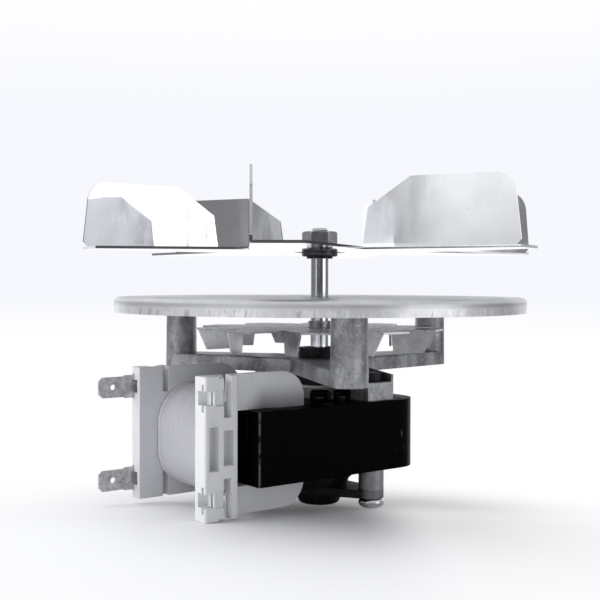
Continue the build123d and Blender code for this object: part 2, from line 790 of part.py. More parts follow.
def make_cooling_fan():
    """Sheet fan with a collar pressed on the shaft and ten blades folded down."""
    underside = fan_top - fan_sheet
    points = star_points(fan_blade_count, fan_first_degrees, fan_offset, fan_blade_start, fan_blade_end,
                         fan_tip_reach, fan_tip_offset)
    fan = prism(points, underside, fan_top)
    fan += rod(shaft_radius + fan_collar_wall, fan_top, fan_collar_top)
    fan -= rod(shaft_radius, underside - 1, fan_collar_top + 1)
    for i in range(fan_blade_count):
        angle = fan_first_degrees + 360.0 / fan_blade_count * i
        face = blade_frame(angle, fan_offset, fan_top) * fan_blade_outline()
        away = Vector(sin(radians(angle)), -cos(radians(angle)), 0)
        fan += extrude(face, fan_sheet, dir=-away)
    return fan


def make_impeller_nut():
    """Hexagon nut with both ends chamfered."""
    hexagon = RegularPolygon(nut_across_flats / 2, 6, major_radius=False)
    nut = extrude(Pos(0, 0, emboss_top) * hexagon, nut_height)
    lens = cone(nut_chamfer_radius, nut_chamfer_radius + nut_height, emboss_top, emboss_top + nut_height)
    lens &= cone(nut_chamfer_radius + nut_height, nut_chamfer_radius, emboss_top, emboss_top + nut_height)
    return (nut & lens) - rod(shaft_hole_radius, emboss_top - 1, emboss_top + nut_height + 1)


def make_impeller_collar():
    """Turned collar under the impeller."""
    collar = rod(collar_radius, collar_bottom, emboss_underside)
    collar = fillet(collar.edges().filter_by(GeomType.CIRCLE), collar_edge_radius)
    return collar - rod(shaft_hole_radius, collar_bottom - 1, emboss_underside + 1)


def make_circlip(radius, bottom):
    """Retaining ring seated in a shaft groove."""
    return ring(radius, shaft_radius - groove_depth, bottom, bottom + circlip_thickness)


def make_spacer_sleeves():
    """Sleeves between the stack and the lower bridge, one solid each."""
    inner = screw_radius + screw_hole_clearance
    return Compound([ring(sleeve_radius, inner, lower_eye_top, stack_bottom, x, y) for x, y in screw_places])


def make_frame_screws():
    """Pan-headed screws through bridge, sleeve, stack and foot, tapped into the upper bridge."""
    screws = []
    for x, y in screw_places:
        head_bottom = lower_eye_bottom - screw_head_height
        head = rod(screw_head_radius, head_bottom, lower_eye_bottom, x, y)
        head = fillet(edges_at_level(head, head_bottom), screw_head_edge_radius)
        shank_bottom = lower_eye_bottom - screw_head_root
        shank = rod(screw_radius, shank_bottom, foot_floor_top + bridge_eye_height, x, y)
        screws.append(head + shank)
    return Compound(screws)


def write_parts():
    """Build every piece and write one file for each."""
    upper_tab_level, lower_tab_level = tab_levels()
    nodes = {
        "mounting_disc": make_mounting_disc(),
        "disc_screws": make_disc_screws(),
        "post_frame": make_post_frame(),
        "upper_bearing_bridge": make_upper_bridge(),
        "upper_bearing": make_bearing(upper_bearing_bottom),
        "upper_felt_ring": make_felt(upper_felt_bottom),
        "upper_bearing_clip": make_clip(upper_felt_bottom + felt_thickness),
        "lower_bearing_bridge": make_lower_bridge(),
        "lower_bearing": make_bearing(lower_bearing_bottom),
        "lower_felt_ring": make_felt(lower_felt_bottom),
        "lower_bearing_clip": make_clip(lower_felt_bottom + felt_thickness),
        "spacer_sleeves": make_spacer_sleeves(),
        "frame_screws": make_frame_screws(),
        "stator_core": make_stator_core(),
        "coil_core": make_coil_core(),
        "stack_rivets": make_stack_rivets(),
        "shading_rings": make_shading_rings(),
        "coil_bobbin": make_coil_bobbin(),
        "coil_winding": make_coil_winding(),
        "coil_tape": make_coil_tape(),
        "terminal_tab_upper": make_terminal_tab(upper_tab_level),
        "terminal_tab_lower": make_terminal_tab(lower_tab_level),
        "rotor_shaft": make_rotor_shaft(),
        "rotor_core": make_rotor_core(),
        "rotor_cage": make_rotor_cage(),
        "upper_thrust_washer": make_thrust_washer(end_ring_top),
        "lower_thrust_washer": make_thrust_washer(lower_washer_bottom),
        "cooling_fan": make_cooling_fan(),
        "fan_circlip": make_circlip(fan_circlip_radius, fan_collar_top),
        "impeller": make_impeller(),
        "impeller_collar": make_impeller_collar(),
        "impeller_circlip": make_circlip(impeller_circlip_radius, circlip_bottom),
        "impeller_nut": make_impeller_nut(),
    }
    os.makedirs("parts", exist_ok=True)
    for name, shape in nodes.items():
        export_step(shape, f"parts/{name}.step")
        print(name, round(shape.volume, 1))


write_parts()
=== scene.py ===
"""Shaded pole fan motor, dressed for rendering.

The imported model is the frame. This script gives every solid its finish, adds the pieces whose
detail is finer than the solids carry, and sets up a pale studio with one camera.
"""

from math import radians

import bmesh
import bpy
import numpy as np
from bpy.props import FloatProperty, FloatVectorProperty, IntProperty, PointerProperty
from mathutils import Matrix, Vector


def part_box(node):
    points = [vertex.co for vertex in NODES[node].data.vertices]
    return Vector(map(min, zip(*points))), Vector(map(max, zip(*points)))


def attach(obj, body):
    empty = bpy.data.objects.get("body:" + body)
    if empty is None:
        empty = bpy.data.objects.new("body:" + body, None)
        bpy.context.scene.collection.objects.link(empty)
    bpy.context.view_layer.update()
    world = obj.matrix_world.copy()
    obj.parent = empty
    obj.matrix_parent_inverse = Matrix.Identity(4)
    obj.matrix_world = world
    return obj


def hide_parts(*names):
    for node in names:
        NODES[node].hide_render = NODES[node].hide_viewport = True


bl_info = {
    "name": "Fan Motor Dressing",
    "version": (1, 0, 0),
    "blender": (4, 5, 0),
    "location": "3D View > Sidebar > Fan Motor",
    "description": "Finishes, fine pieces and a studio for a shaded pole fan motor",
    "category": "Object",
}

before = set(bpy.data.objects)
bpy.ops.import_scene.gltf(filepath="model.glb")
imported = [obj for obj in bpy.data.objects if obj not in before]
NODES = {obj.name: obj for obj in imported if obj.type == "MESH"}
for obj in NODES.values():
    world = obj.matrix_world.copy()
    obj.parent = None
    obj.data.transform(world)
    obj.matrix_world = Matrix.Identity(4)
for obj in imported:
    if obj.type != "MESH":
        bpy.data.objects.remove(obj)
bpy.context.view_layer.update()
MM = 0.001
TAU = 2.0 * np.pi
TIP_CHAMFER = 0.6
PHOTO_AHEAD = (0.6, 0.8, 0.0)
PHOTO_RIGHT = (0.8, -0.6, 0.0)


def box_mm(name):
    """Both corners of a node's box in millimetres."""
    return [np.array(corner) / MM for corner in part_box(name)]


def add_object(name, data):
    """New object of the scene."""
    item = bpy.data.objects.new(name, data)
    bpy.context.scene.collection.objects.link(item)
    return item


# Shader expressions


class Value:
    """A shader socket used as a number: every operator adds one Math node."""

    def __init__(self, finish, socket):
        self.finish = finish
        self.socket = socket

    def math(self, operation, first, second):
        """Math node of one operation on two numbers."""
        return self.finish.node("ShaderNodeMath", {"operation": operation}, {0: first, 1: second})

    def __add__(self, other):
        return self.math("ADD", self, other)

    def __sub__(self, other):
        return self.math("SUBTRACT", self, other)

    def __rsub__(self, other):
        return self.math("SUBTRACT", other, self)

    def __mul__(self, other):
        return self.math("MULTIPLY", self, other)

    __radd__ = __add__
    __rmul__ = __mul__


class Finish:
    """One material, or the world, while its nodes are written."""

    def __init__(self, owner, tree):
        self.owner = owner
        self.tree = tree
        self.tree.nodes.clear()

    def node(self, kind, settings=None, inputs=None, output=0):
        """Adds a node: its settings first, then the values or links of its sockets."""
        node = self.tree.nodes.new(kind)
        for key, setting in (settings or {}).items():
            setattr(node, key, setting)
        for key, value in (inputs or {}).items():
            if isinstance(value, Value):
                self.tree.links.new(value.socket, node.inputs[key])
            else:
                node.inputs[key].default_value = value
        return Value(self, node.outputs[output])

    def place(self):
        """Object coordinates in millimetres."""
        coordinates = self.node("ShaderNodeTexCoord", output="Object")
        return self.node("ShaderNodeVectorMath", {"operation": "SCALE"}, {0: coordinates, "Scale": 1.0 / MM})

    def vector_math(self, operation, first, second=None, output=0):
        """Vector Math node of one operation on one or two vectors."""
        inputs = {0: first} if second is None else {0: first, 1: second}
        return self.node("ShaderNodeVectorMath", {"operation": operation}, inputs, output)

    def stretch(self, vector, factors):
        """Vector with each axis multiplied by its own factor."""
        return self.vector_math("MULTIPLY", vector, factors)

    def shift(self, vector, offset):
        """Vector moved by an offset."""
        return self.vector_math("ADD", vector, offset)

    def axis(self, vector, name):
        """One component of a vector."""
        return self.node("ShaderNodeSeparateXYZ", None, {0: vector}, name)

    def along(self, vector, heading):
        """How far a vector reaches along a unit heading."""
        return self.vector_math("DOT_PRODUCT", vector, heading, "Value")

    def span(self, vector):
        """Length of a vector."""
        return self.vector_math("LENGTH", vector, output="Value")

    def off_shaft(self, vector):
        """Distance from the shaft's line."""
        return self.span(self.stretch(vector, (1.0, 1.0, 0.0)))

    def noise(self, vector, scale, detail=3.0, roughness=0.55):
        """Noise from 0 to 1; scale is in cycles per millimetre."""
        sockets = {"Vector": vector, "Scale": scale, "Detail": detail, "Roughness": roughness}
        return self.node("ShaderNodeTexNoise", None, sockets, "Fac")

    def cells(self, vector, scale):
        """Random tone of each cell of a cell pattern."""
        colour = self.node("ShaderNodeTexVoronoi", None, {"Vector": vector, "Scale": scale}, "Color")
        return self.node("ShaderNodeSeparateColor", None, {0: colour}, "Red")

    def waves(self, vector, axis, scale, distortion=0.0):
        """Sine bands across one axis."""
        settings = {"wave_type": "BANDS", "bands_direction": axis, "wave_profile": "SIN"}
        sockets = {"Vector": vector, "Scale": scale, "Distortion": distortion, "Detail": 1.0}
        return self.node("ShaderNodeTexWave", settings, sockets, "Fac")

    def mask(self, value, low, high):
        """Smooth step from 0 at low to 1 at high."""
        settings = {"interpolation_type": "SMOOTHSTEP"}
        sockets = {"Value": value, "From Min": low, "From Max": high}
        return self.node("ShaderNodeMapRange", settings, sockets)

    def mix(self, factor, first, second):
        """Colour between two colours."""
        sockets = {0: factor, 6: first, 7: second}
        return self.node("ShaderNodeMix", {"data_type": "RGBA"}, sockets, 2)

    def shades(self, factor, colour, first, second):
        """Colour between two brightnesses of one colour."""
        return self.mix(factor, tone(colour, first), tone(colour, second))

    def rounded(self, radius):
        """Normal as if every edge had that radius in millimetres."""
        return self.node("ShaderNodeBevel", {"samples": 4}, {"Radius": radius * MM})

    def relief(self, height, depth, normal=None):
        """Normal from a height of 0 to 1 that stands for a depth in millimetres."""
        sockets = {"Height": height, "Distance": depth * MM, "Strength": 1.0}
        if normal is not None:
            sockets["Normal"] = normal
        return self.node("ShaderNodeBump", None, sockets, "Normal")

    def ray(self, kind):
        """1 for rays of one kind, 0 for all others."""
        return self.node("ShaderNodeLightPath", output=f"Is {kind} Ray")

    def mix_shader(self, factor, first, second):
        """Shader between two shaders."""
        return self.node("ShaderNodeMixShader", None, {0: factor, 1: first, 2: second})

    def surface(self, base, rough, normal, metallic=0.0, specular=0.5):
        """Principled surface that feeds the material's output."""
        inputs = {"Base Color": base, "Roughness": rough, "Normal": normal, "Metallic": metallic,
                  "Specular IOR Level": specular}
        self.node_output(self.node("ShaderNodeBsdfPrincipled", None, inputs))

    def node_output(self, shader, kind="ShaderNodeOutputMaterial"):
        """Output of the material or the world, fed by one shader."""
        output = self.tree.nodes.new(kind)
        self.tree.links.new(shader.socket, output.inputs["Surface"])


def new_finish(name):
    """Empty material to write nodes into."""
    material = bpy.data.materials.new(name)
    material.use_nodes = True
    return Finish(material, material.node_tree)


def tone(colour, factor=1.0):
    """Colour with alpha, every channel multiplied by one factor."""
    return (colour[0] * factor, colour[1] * factor, colour[2] * factor, 1.0)


# Finishes


def galvanised_sheet(f, place, colours):
    """Zinc coated sheet: dull crystals, a flat greyer than the rim, whose brighter colour is painted light,
    runs down the rim and a darker shoulder line.
    """
    crystals = f.cells(place, 0.22)
    clouds = f.noise(place, 0.06, 4.0)
    rim = f.mask(f.off_shaft(place), 63.8, 65.6)
    level = f.axis(place, "Z")
    runs = f.noise(f.stretch(place, (1.0, 1.0, 0.22)), 0.75, 4.0, 0.6)
    patches = f.noise(place, 0.09, 2.0)
    low = 1.0 - f.mask(level, -3.4, -2.2)
    streaks = f.mask(runs, 0.47, 0.6) * f.mask(patches, 0.38, 0.6) * rim * low
    grey = 0.35 + 0.3 * crystals + 0.35 * clouds
    base = f.shades(grey, colours.sheet, 0.8, 1.06)
    # Painted light: the flat is painted greyer than the rim, whose brighter colour stands in for the light
    # it catches.
    base = f.mix((1.0 - rim) * 0.5, base, tone(colours.sheet, 0.62))
    base = f.mix(streaks * 0.7, base, tone(colours.sheet, 1.3))
    dark_runs = f.mask(f.noise(f.stretch(place, (1.0, 1.0, 0.3)), 0.5, 3.0), 0.57, 0.68) * rim * low
    base = f.mix(dark_runs * 0.6, base, tone(colours.sheet, 0.45))
    # A darker band along the shoulder of the rim.
    shoulder = f.mask(level, -2.6, -1.9) * (1.0 - f.mask(level, -1.6, -0.9)) * rim
    base = f.mix(shoulder * 0.45, base, tone(colours.sheet, 0.55))
    grain = f.noise(place, 2.4, 2.0)
    normal = f.relief(0.6 * grain + 0.4 * clouds, 0.05)
    rough = 0.3 + 0.16 * clouds - 0.05 * crystals
    f.surface(base, rough, normal, metallic=0.75)


def zinc_plated_steel(f, place, colours):
    """Bright zinc plate with a few dull patches."""
    patches = f.noise(place, 0.5, 3.0)
    base = f.shades(patches, colours.plated, 0.8, 1.05)
    normal = f.relief(f.noise(place, 3.0, 2.0), 0.005, f.rounded(0.25))
    f.surface(base, 0.1 + 0.14 * patches, normal, metallic=1.0)


def die_cast_alloy(f, place, colours):
    """Casting skin: fine bright specks, darker flow marks and a grainy surface."""
    flow = f.noise(f.stretch(place, (1.0, 1.0, 0.6)), 0.14, 5.0, 0.6)
    specks = f.mask(f.noise(place, 0.75, 4.0, 0.65), 0.54, 0.68)
    pits = f.mask(f.noise(place, 0.6, 4.0, 0.6), 0.55, 0.66)
    base = f.shades(f.mask(flow, 0.32, 0.68), colours.casting, 0.5, 1.2)
    base = f.mix(specks * 0.5, base, tone(colours.casting, 1.7))
    base = f.mix(pits * 0.4, base, tone(colours.casting, 0.35))
    normal = f.relief(f.noise(place, 0.9, 5.0, 0.7), 0.14, f.rounded(0.45))
    f.surface(base, 0.3 + 0.18 * flow, normal, metallic=0.75)


def black_steel(f, place, colours):
    """Blackened steel with small rubbed spots, bare at the lower bridge's outer ends."""
    clouds = f.noise(place, 0.4, 3.0)
    outer = f.mask(f.off_shaft(place) + 3.0 * clouds, 20.0, 23.0)
    bare = outer * f.mask(0.0 - f.axis(place, "Z"), 50.0, 56.0)
    rubbed = f.mask(f.noise(place, 1.1, 3.0), 0.62, 0.72)
    base = f.mix(rubbed * 0.35, tone(colours.black), tone(colours.casting, 0.5))
    base = f.mix(bare, base, tone(colours.casting, 0.75))
    normal = f.relief(f.noise(place, 1.8, 3.0), 0.07, f.rounded(0.4))
    f.surface(base, 0.42 + 0.2 * clouds, normal, metallic=0.35 + 0.5 * bare)


def sintered_bronze(f, place, colours):
    """Pressed powder bush, finely speckled."""
    grains = f.noise(place, 4.0, 2.0)
    base = f.shades(grains, colours.bronze, 0.7, 1.15)
    f.surface(base, 0.4 + 0.15 * grains, f.relief(grains, 0.03), metallic=0.9)


def oil_felt(f, place, colours):
    """Felt ring darkened by oil."""
    fibres = f.noise(f.stretch(place, (1.0, 1.0, 2.5)), 2.6, 4.0, 0.7)
    base = f.shades(fibres, colours.felt, 0.6, 1.1)
    f.surface(base, 0.9, f.relief(fibres, 0.2))


def spring_steel(f, place, colours):
    """Satin strip with rolling lines."""
    lines = f.noise(f.stretch(place, (0.2, 2.5, 2.5)), 1.2, 2.0)
    base = f.shades(lines, colours.plated, 0.5, 0.75)
    f.surface(base, 0.28 + 0.12 * lines, f.rounded(0.1), metallic=1.0)


def turned_steel(f, place, colours):
    """Dull turned tube with faint tool lines round it, much darker above the disc."""
    lines = f.waves(place, "Z", 1.1, 0.3)
    stain = f.noise(place, 0.35, 3.0)
    base = f.shades(stain, colours.plated, 0.3, 0.55)
    # Much darker above the disc.
    above_disc = f.mask(f.axis(place, "Z"), 0.0, 1.0)
    base = f.mix(above_disc, base, tone(colours.plated, 0.14))
    normal = f.relief(lines, 0.012, f.rounded(0.3))
    f.surface(base, 0.34 + 0.14 * stain, normal, metallic=0.95)


def black_laminations(f, place, colours):
    """Varnished sheet stack: near black, with a few pale scratches, a right end painted lighter as a painted
    reflection and a painted highlight on the sheets' edges along the front corner."""
    scratches = f.noise(f.stretch(place, (2.2, 2.2, 0.22)), 0.8, 2.0, 0.5)
    places = f.mask(f.noise(place, 0.09, 2.0), 0.5, 0.62) * f.mask(f.axis(place, "X"), 9.0, 17.0)
    marks = f.mask(scratches, 0.67, 0.71) * places
    varnish = f.noise(place, 0.5, 3.0)
    base = f.mix(marks * 0.3, tone(colours.varnish), tone(colours.plated, 0.5))
    sheets = f.waves(place, "Z", 0.628, 0.3)
    low, high = box_mm("stator_core")
    # Painted reflection: the right end is painted lighter, standing in for the sheen of the varnish there.
    right_end_reflection = f.mask(f.axis(place, "X") - high[0], -7.0, -1.5)
    base = f.mix(right_end_reflection * 0.8, base, tone(colours.plated, 0.24))
    side = f.axis(place, "X") - low[0]
    front = f.axis(place, "Y") - low[1]
    # Painted highlight along the front corner, broken by the sheets and by patches.
    corner = (1.0 - f.mask(side, 0.35, 0.8)) * (1.0 - f.mask(front, 0.35, 0.7))
    highlight_patches = f.mask(f.noise(place, 0.35, 2.0), 0.25, 0.55)
    base = f.mix(corner * (0.3 + 0.7 * sheets) * highlight_patches, base, tone(colours.plated, 0.2))
    normal = f.relief(0.4 * varnish + 0.6 * sheets, 0.03, f.rounded(0.35))
    f.surface(base, 0.3 + 0.2 * varnish, normal, specular=0.02)


def copper(f, place, colours):
    """Copper loop, almost black."""
    tarnish = f.noise(place, 0.5, 3.0)
    base = f.shades(tarnish, colours.copper, 0.45, 0.95)
    f.surface(base, 0.3 + 0.2 * tarnish, f.relief(tarnish, 0.03), metallic=1.0)


def white_plastic(f, place, colours):
    """Moulded bobbin: fine matt skin, faint flow clouds, a few grey rubs, a greyer rear block and painted
    shade just above the stack."""
    clouds = f.noise(place, 0.05, 3.0)
    rubs = f.mask(f.noise(f.stretch(place, (1.0, 1.0, 0.35)), 0.22, 4.0, 0.65), 0.6, 0.74)
    base = f.shades(clouds, colours.plastic, 0.95, 1.02)
    base = f.mix(rubs * 0.16, base, tone(colours.plastic, 0.55))
    base = f.mix(f.mask(f.axis(place, "Y"), 6.0, 16.0) * 0.3, base, tone(colours.plastic, 0.62))
    low, high = box_mm("stator_core")
    over_core = f.axis(place, "Z") - high[2]
    beside_core = f.mask(f.axis(place, "X") - low[0], 1.0, 6.0)
    # Painted shade: the flange just above the stack is painted darker, where it is shaded.
    painted_shade_over_stack = f.mask(over_core, -1.0, 0.2) * (1.0 - f.mask(over_core, 1.0, 8.5)) * beside_core
    base = f.mix(painted_shade_over_stack * (0.5 + 0.5 * clouds), base, tone(colours.plastic, 0.35))
    skin = f.noise(place, 2.2, 3.0)
    normal = f.relief(skin, 0.03, f.rounded(0.3))
    f.surface(base, 0.42 + 0.12 * clouds, normal)


def enamelled_wire(f, place, colours):
    """Layer wound wire: rounded ridges that run round the coil."""
    turns = f.waves(place, "Y", 0.6, 0.1)
    base = f.shades(turns, colours.wire, 0.55, 1.0)
    f.surface(base, 0.32, f.relief(turns, 0.12), metallic=0.3)


def clear_tape(f, place, colours):
    """Pale tape over wire: soft streaks round the coil, small blisters and a painted highlight along the
    toothed cut edge.
    """
    streaks = f.noise(f.stretch(place, (0.12, 1.0, 0.12)), 0.8, 3.0)
    blisters = f.mask(f.noise(place, 0.2, 3.0), 0.55, 0.72)
    base = f.shades(streaks, colours.tape, 0.9, 1.08)
    base = f.mix(blisters * 0.12, base, tone(colours.tape, 0.7))
    depth = box_mm("coil_tape")[1][1] - f.axis(place, "Y")
    # Painted highlight: the toothed cut edge is painted brighter than the tape.
    cut_edge_highlight = f.mask(depth, 0.5, 0.8) * (1.0 - f.mask(depth, 1.3, 1.6))
    teeth = f.mask(f.waves(place, "Z", 0.385), 0.35, 0.65)
    base = f.mix(cut_edge_highlight * (0.25 + 0.75 * teeth), base, tone(colours.tape, 1.75))
    normal = f.relief(0.7 * streaks + 0.3 * blisters, 0.1)
    f.surface(base, 0.36 + 0.2 * streaks, normal, specular=0.4)


def tinned_brass(f, place, colours):
    """Tinned terminal strip: mottled, with rubbed lines along the push-on direction."""
    mottle = f.noise(place, 0.55, 4.0, 0.65)
    rubs = f.noise(f.stretch(place, (0.25, 2.0, 2.0)), 1.2, 2.0)
    base = f.shades(f.mask(mottle, 0.32, 0.68), colours.tinned, 0.62, 1.05)
    base = f.mix(f.mask(rubs, 0.6, 0.75) * 0.35, base, tone(colours.tinned, 0.5))
    normal = f.relief(0.6 * rubs + 0.4 * mottle, 0.03, f.rounded(0.12))
    f.surface(base, 0.34 + 0.2 * mottle, normal, metallic=0.9)


def ground_steel(f, place, colours):
    """Ground shaft: polished, with very fine lines round it."""
    lines = f.noise(f.stretch(place, (0.2, 0.2, 6.0)), 1.0, 2.0)
    base = f.shades(lines, colours.ground, 0.9, 1.05)
    f.surface(base, 0.1 + 0.06 * lines, f.relief(lines, 0.0004), metallic=1.0)


def rotor_laminations(f, place, colours):
    """Turned rotor surface: fine sheet edges in a dark grey."""
    sheets = f.waves(place, "Z", 0.318, 0.2)
    base = f.shades(sheets, colours.casting, 0.35, 0.6)
    f.surface(base, 0.4, f.relief(sheets, 0.05), metallic=0.9)


def cast_aluminium(f, place, colours):
    """Rotor cage casting."""
    skin = f.noise(place, 0.9, 4.0)
    base = f.shades(skin, colours.casting, 0.9, 1.4)
    f.surface(base, 0.4 + 0.1 * skin, f.relief(skin, 0.08, f.rounded(0.3)), metallic=0.9)


def fan_sheet(f, place, colours):
    """Plain cooling fan sheet: grey, with drawing marks and dull clouds."""
    clouds = f.noise(place, 0.14, 4.0)
    marks = f.noise(f.stretch(place, (1.0, 1.0, 0.2)), 0.9, 3.0)
    base = f.shades(f.mask(clouds, 0.3, 0.7), colours.fan, 0.8, 1.1)
    base = f.mix(f.mask(marks, 0.55, 0.75) * 0.3, base, tone(colours.fan, 0.6))
    normal = f.relief(0.5 * marks + 0.5 * clouds, 0.05)
    f.surface(base, 0.2 + 0.14 * clouds, normal, metallic=0.9)


def impeller_sheet(f, place, colours):
    """Bright annealed sheet: mirror like, slightly uneven, with smears, dull patches and darker patches near
    the blades' roots, most of them on the blades to the camera's right."""
    waviness = f.noise(place, 0.03, 2.0)
    smears = f.noise(f.stretch(place, (1.0, 1.0, 0.3)), 0.14, 4.0, 0.6)
    scuffs = f.mask(f.noise(f.stretch(place, (1.0, 1.0, 3.0)), 0.3, 3.0), 0.7, 0.76)
    dull = f.mask(f.noise(place, 0.07, 3.0), 0.45, 0.7)
    height = f.axis(place, "Z") - box_mm("impeller")[0][2]
    risen = f.mask(height, 2.0, 5.0)
    roots = 1.0 - f.mask(f.off_shaft(place), 36.0, 58.0)
    smudged = f.mask(smears, 0.42, 0.66) * (0.12 + 0.7 * roots * risen)
    base = f.shades(smudged, colours.bright, 1.0, 0.58)
    # Darker near the roots of the blades to the camera's right.
    darker_right_roots = roots * f.mask(height, 0.9, 2.0) * f.mask(f.along(place, PHOTO_RIGHT), 2.0, 12.0)
    base = f.mix(darker_right_roots * 0.85, base, tone(colours.bright, 0.45))
    base = f.mix(scuffs * 0.3, base, tone(colours.bright, 0.6))
    rough = 0.035 + 0.05 * f.mask(smears, 0.45, 0.75) + 0.04 * dull + 0.1 * scuffs + 0.11 * roots * risen
    f.surface(base, rough, f.relief(waviness, 0.25), metallic=1.0)


def black_clip(f, place, colours):
    """Blackened spring clip, rubbed in places."""
    rubs = f.mask(f.noise(place, 0.9, 3.0), 0.55, 0.7)
    base = f.mix(rubs * 0.4, tone(colours.black, 1.5), tone(colours.plated, 0.4))
    f.surface(base, 0.35 + 0.1 * rubs, f.relief(rubs, 0.02, f.rounded(0.2)), metallic=0.6)


FINISHES = (
    galvanised_sheet, zinc_plated_steel, die_cast_alloy, black_steel, sintered_bronze, oil_felt,
    spring_steel, turned_steel, black_laminations, copper, white_plastic, enamelled_wire, clear_tape,
    tinned_brass, ground_steel, rotor_laminations, cast_aluminium, fan_sheet, impeller_sheet, black_clip,
)
FINISH_OF_SLOT = {write.__name__: write for write in FINISHES}


def finish(slot):
    """Material of a slot, written when it is first asked for."""
    if slot not in bpy.data.materials or "written" not in bpy.data.materials[slot]:
        if slot in bpy.data.materials:
            bpy.data.materials[slot].name = slot + "_packed"
        f = new_finish(slot)
        FINISH_OF_SLOT[slot](f, f.place(), bpy.context.scene.motor_colours)
        f.owner["written"] = True
    return bpy.data.materials[slot]


# Surfaces from numpy grids


def grid_faces(rows, columns, closed_rows, closed_columns):
    """Corner numbers of every quad of a grid; a closed direction joins its last line to its first."""
    i = np.arange(rows if closed_rows else rows - 1)[:, None]
    j = np.arange(columns if closed_columns else columns - 1)[None, :]
    i1, j1 = (i + 1) % rows, (j + 1) % columns
    corners = (i * columns + j, i * columns + j1, i1 * columns + j1, i1 * columns + j)
    return np.stack(corners, axis=-1).reshape(-1, 4)


def make_piece(name, points, faces, slot, body, sharp_degrees):
    """Closed mesh from points in millimetres, with its doubles merged and its faces turned outwards."""
    mesh = bpy.data.meshes.new(name)
    mesh.from_pydata((points.reshape(-1, 3) * MM).tolist(), [], faces.tolist())
    work = bmesh.new()
    work.from_mesh(mesh)
    bmesh.ops.remove_doubles(work, verts=work.verts, dist=1e-7)
    bmesh.ops.dissolve_degenerate(work, edges=work.edges, dist=1e-8)
    bmesh.ops.recalc_face_normals(work, faces=work.faces)
    work.to_mesh(mesh)
    work.free()
    mesh.polygons.foreach_set("use_smooth", np.ones(len(mesh.polygons), bool))
    mesh.set_sharp_from_angle(angle=radians(sharp_degrees))
    mesh.materials.append(finish(slot))
    piece = add_object(name, mesh)
    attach(piece, body)
    return piece


def round_angles(turns):
    """Even angles of one full turn."""
    return np.arange(turns) * TAU / turns


def all_round(column, turns):
    """One value per level, repeated for every angle."""
    return np.repeat(column[:, None], turns, axis=1)


def turned_surface(levels, radii, centres=((0.0, 0.0),), closed=False):
    """Points and faces of radius(level, angle) about one or more upright lines. Levels are given for
    each row or for each row and angle; closed joins the last row to the first."""
    rows, turns = radii.shape
    angles = round_angles(turns)
    heights = levels if levels.ndim == 2 else all_round(levels, turns)
    grids = [np.stack([x + radii * np.cos(angles), y + radii * np.sin(angles), heights], axis=-1)
             for x, y in centres]
    faces = grid_faces(rows, turns, closed, True)
    copies = [faces + rows * turns * number for number in range(len(centres))]
    return np.vstack([grid.reshape(-1, 3) for grid in grids]), np.vstack(copies)


def thread_cut(levels, angles, pitch, depth, start, end):
    """Depth of a V thread: a triangle wave of level minus pitch times turn, faded in at both ends."""
    phase = (levels[:, None] / pitch - angles[None, :] / TAU) % 1.0
    wave = 1.0 - np.abs(2.0 * phase - 1.0)
    fade = np.clip((levels - start) / pitch, 0, 1) * np.clip((end - levels) / pitch, 0, 1)
    return depth * wave * fade[:, None]


def threaded_shank(start, end, plain, radius, depth, pitch, angles):
    """Levels and radii of a shank from start to end: plain at first, then with a V thread, and with
    a chamfered tip."""
    way = np.sign(end - start)
    levels = np.linspace(start, end, int(abs(end - start) / pitch * 8))
    cut = thread_cut(way * levels, angles, pitch, depth, way * start + plain, way * end + 1.0)
    tip = np.clip(way * (levels - end) + TIP_CHAMFER, 0, None)[:, None]
    return all_round(levels, len(angles)), radius - np.maximum(cut, tip)


def rounded_loop(half_x, half_z, radius, samples):
    """Closed path in the XZ plane: quarter circles about four corner centres joined by straight
    runs, sampled evenly along its length. Returns points and outward normals."""
    steps = 400
    angles = (np.arange(steps) + 0.5) * TAU / steps
    c, s = np.cos(angles), np.sin(angles)
    dense = np.stack([np.sign(c) * (half_x - radius) + radius * c,
                      np.sign(s) * (half_z - radius) + radius * s], axis=-1)
    dense = np.vstack([dense, dense[:1]])
    run = np.concatenate([[0.0], np.cumsum(np.linalg.norm(np.diff(dense, axis=0), axis=1))])
    at = np.arange(samples) * run[-1] / samples
    path = np.stack([np.interp(at, run, dense[:, 0]), np.interp(at, run, dense[:, 1])], axis=-1)
    ahead = np.roll(path, -1, axis=0) - np.roll(path, 1, axis=0)
    ahead /= np.linalg.norm(ahead, axis=1)[:, None]
    normals = np.stack([ahead[:, 1], -ahead[:, 0]], axis=-1)
    return path, normals, run[-1]


def seeded_wave(at, length, seed, strongest=9):
    """Smooth closed wave of sines with fixed random phases, between about -1 and 1."""
    random = np.random.default_rng(seed)
    orders = np.arange(1, strongest + 1)
    phases = random.uniform(0, TAU, strongest)
    sizes = random.uniform(0.4, 1.0, strongest) / np.sqrt(orders)
    waves = sizes * np.sin(at[..., None] * TAU / length * orders + phases)
    return waves.sum(axis=-1) / sizes.sum() * 2.0


# Sizes and colours a user may change


def fine_size(name, description, default, low, high):
    """Size in millimetres that a user may change."""
    return FloatProperty(name=name, description=description, default=default, min=low, max=high)


def base_colour(name, description, *rgb):
    """Base colour that a user may change."""
    return FloatVectorProperty(name=name, description=description, subtype="COLOR", default=rgb)


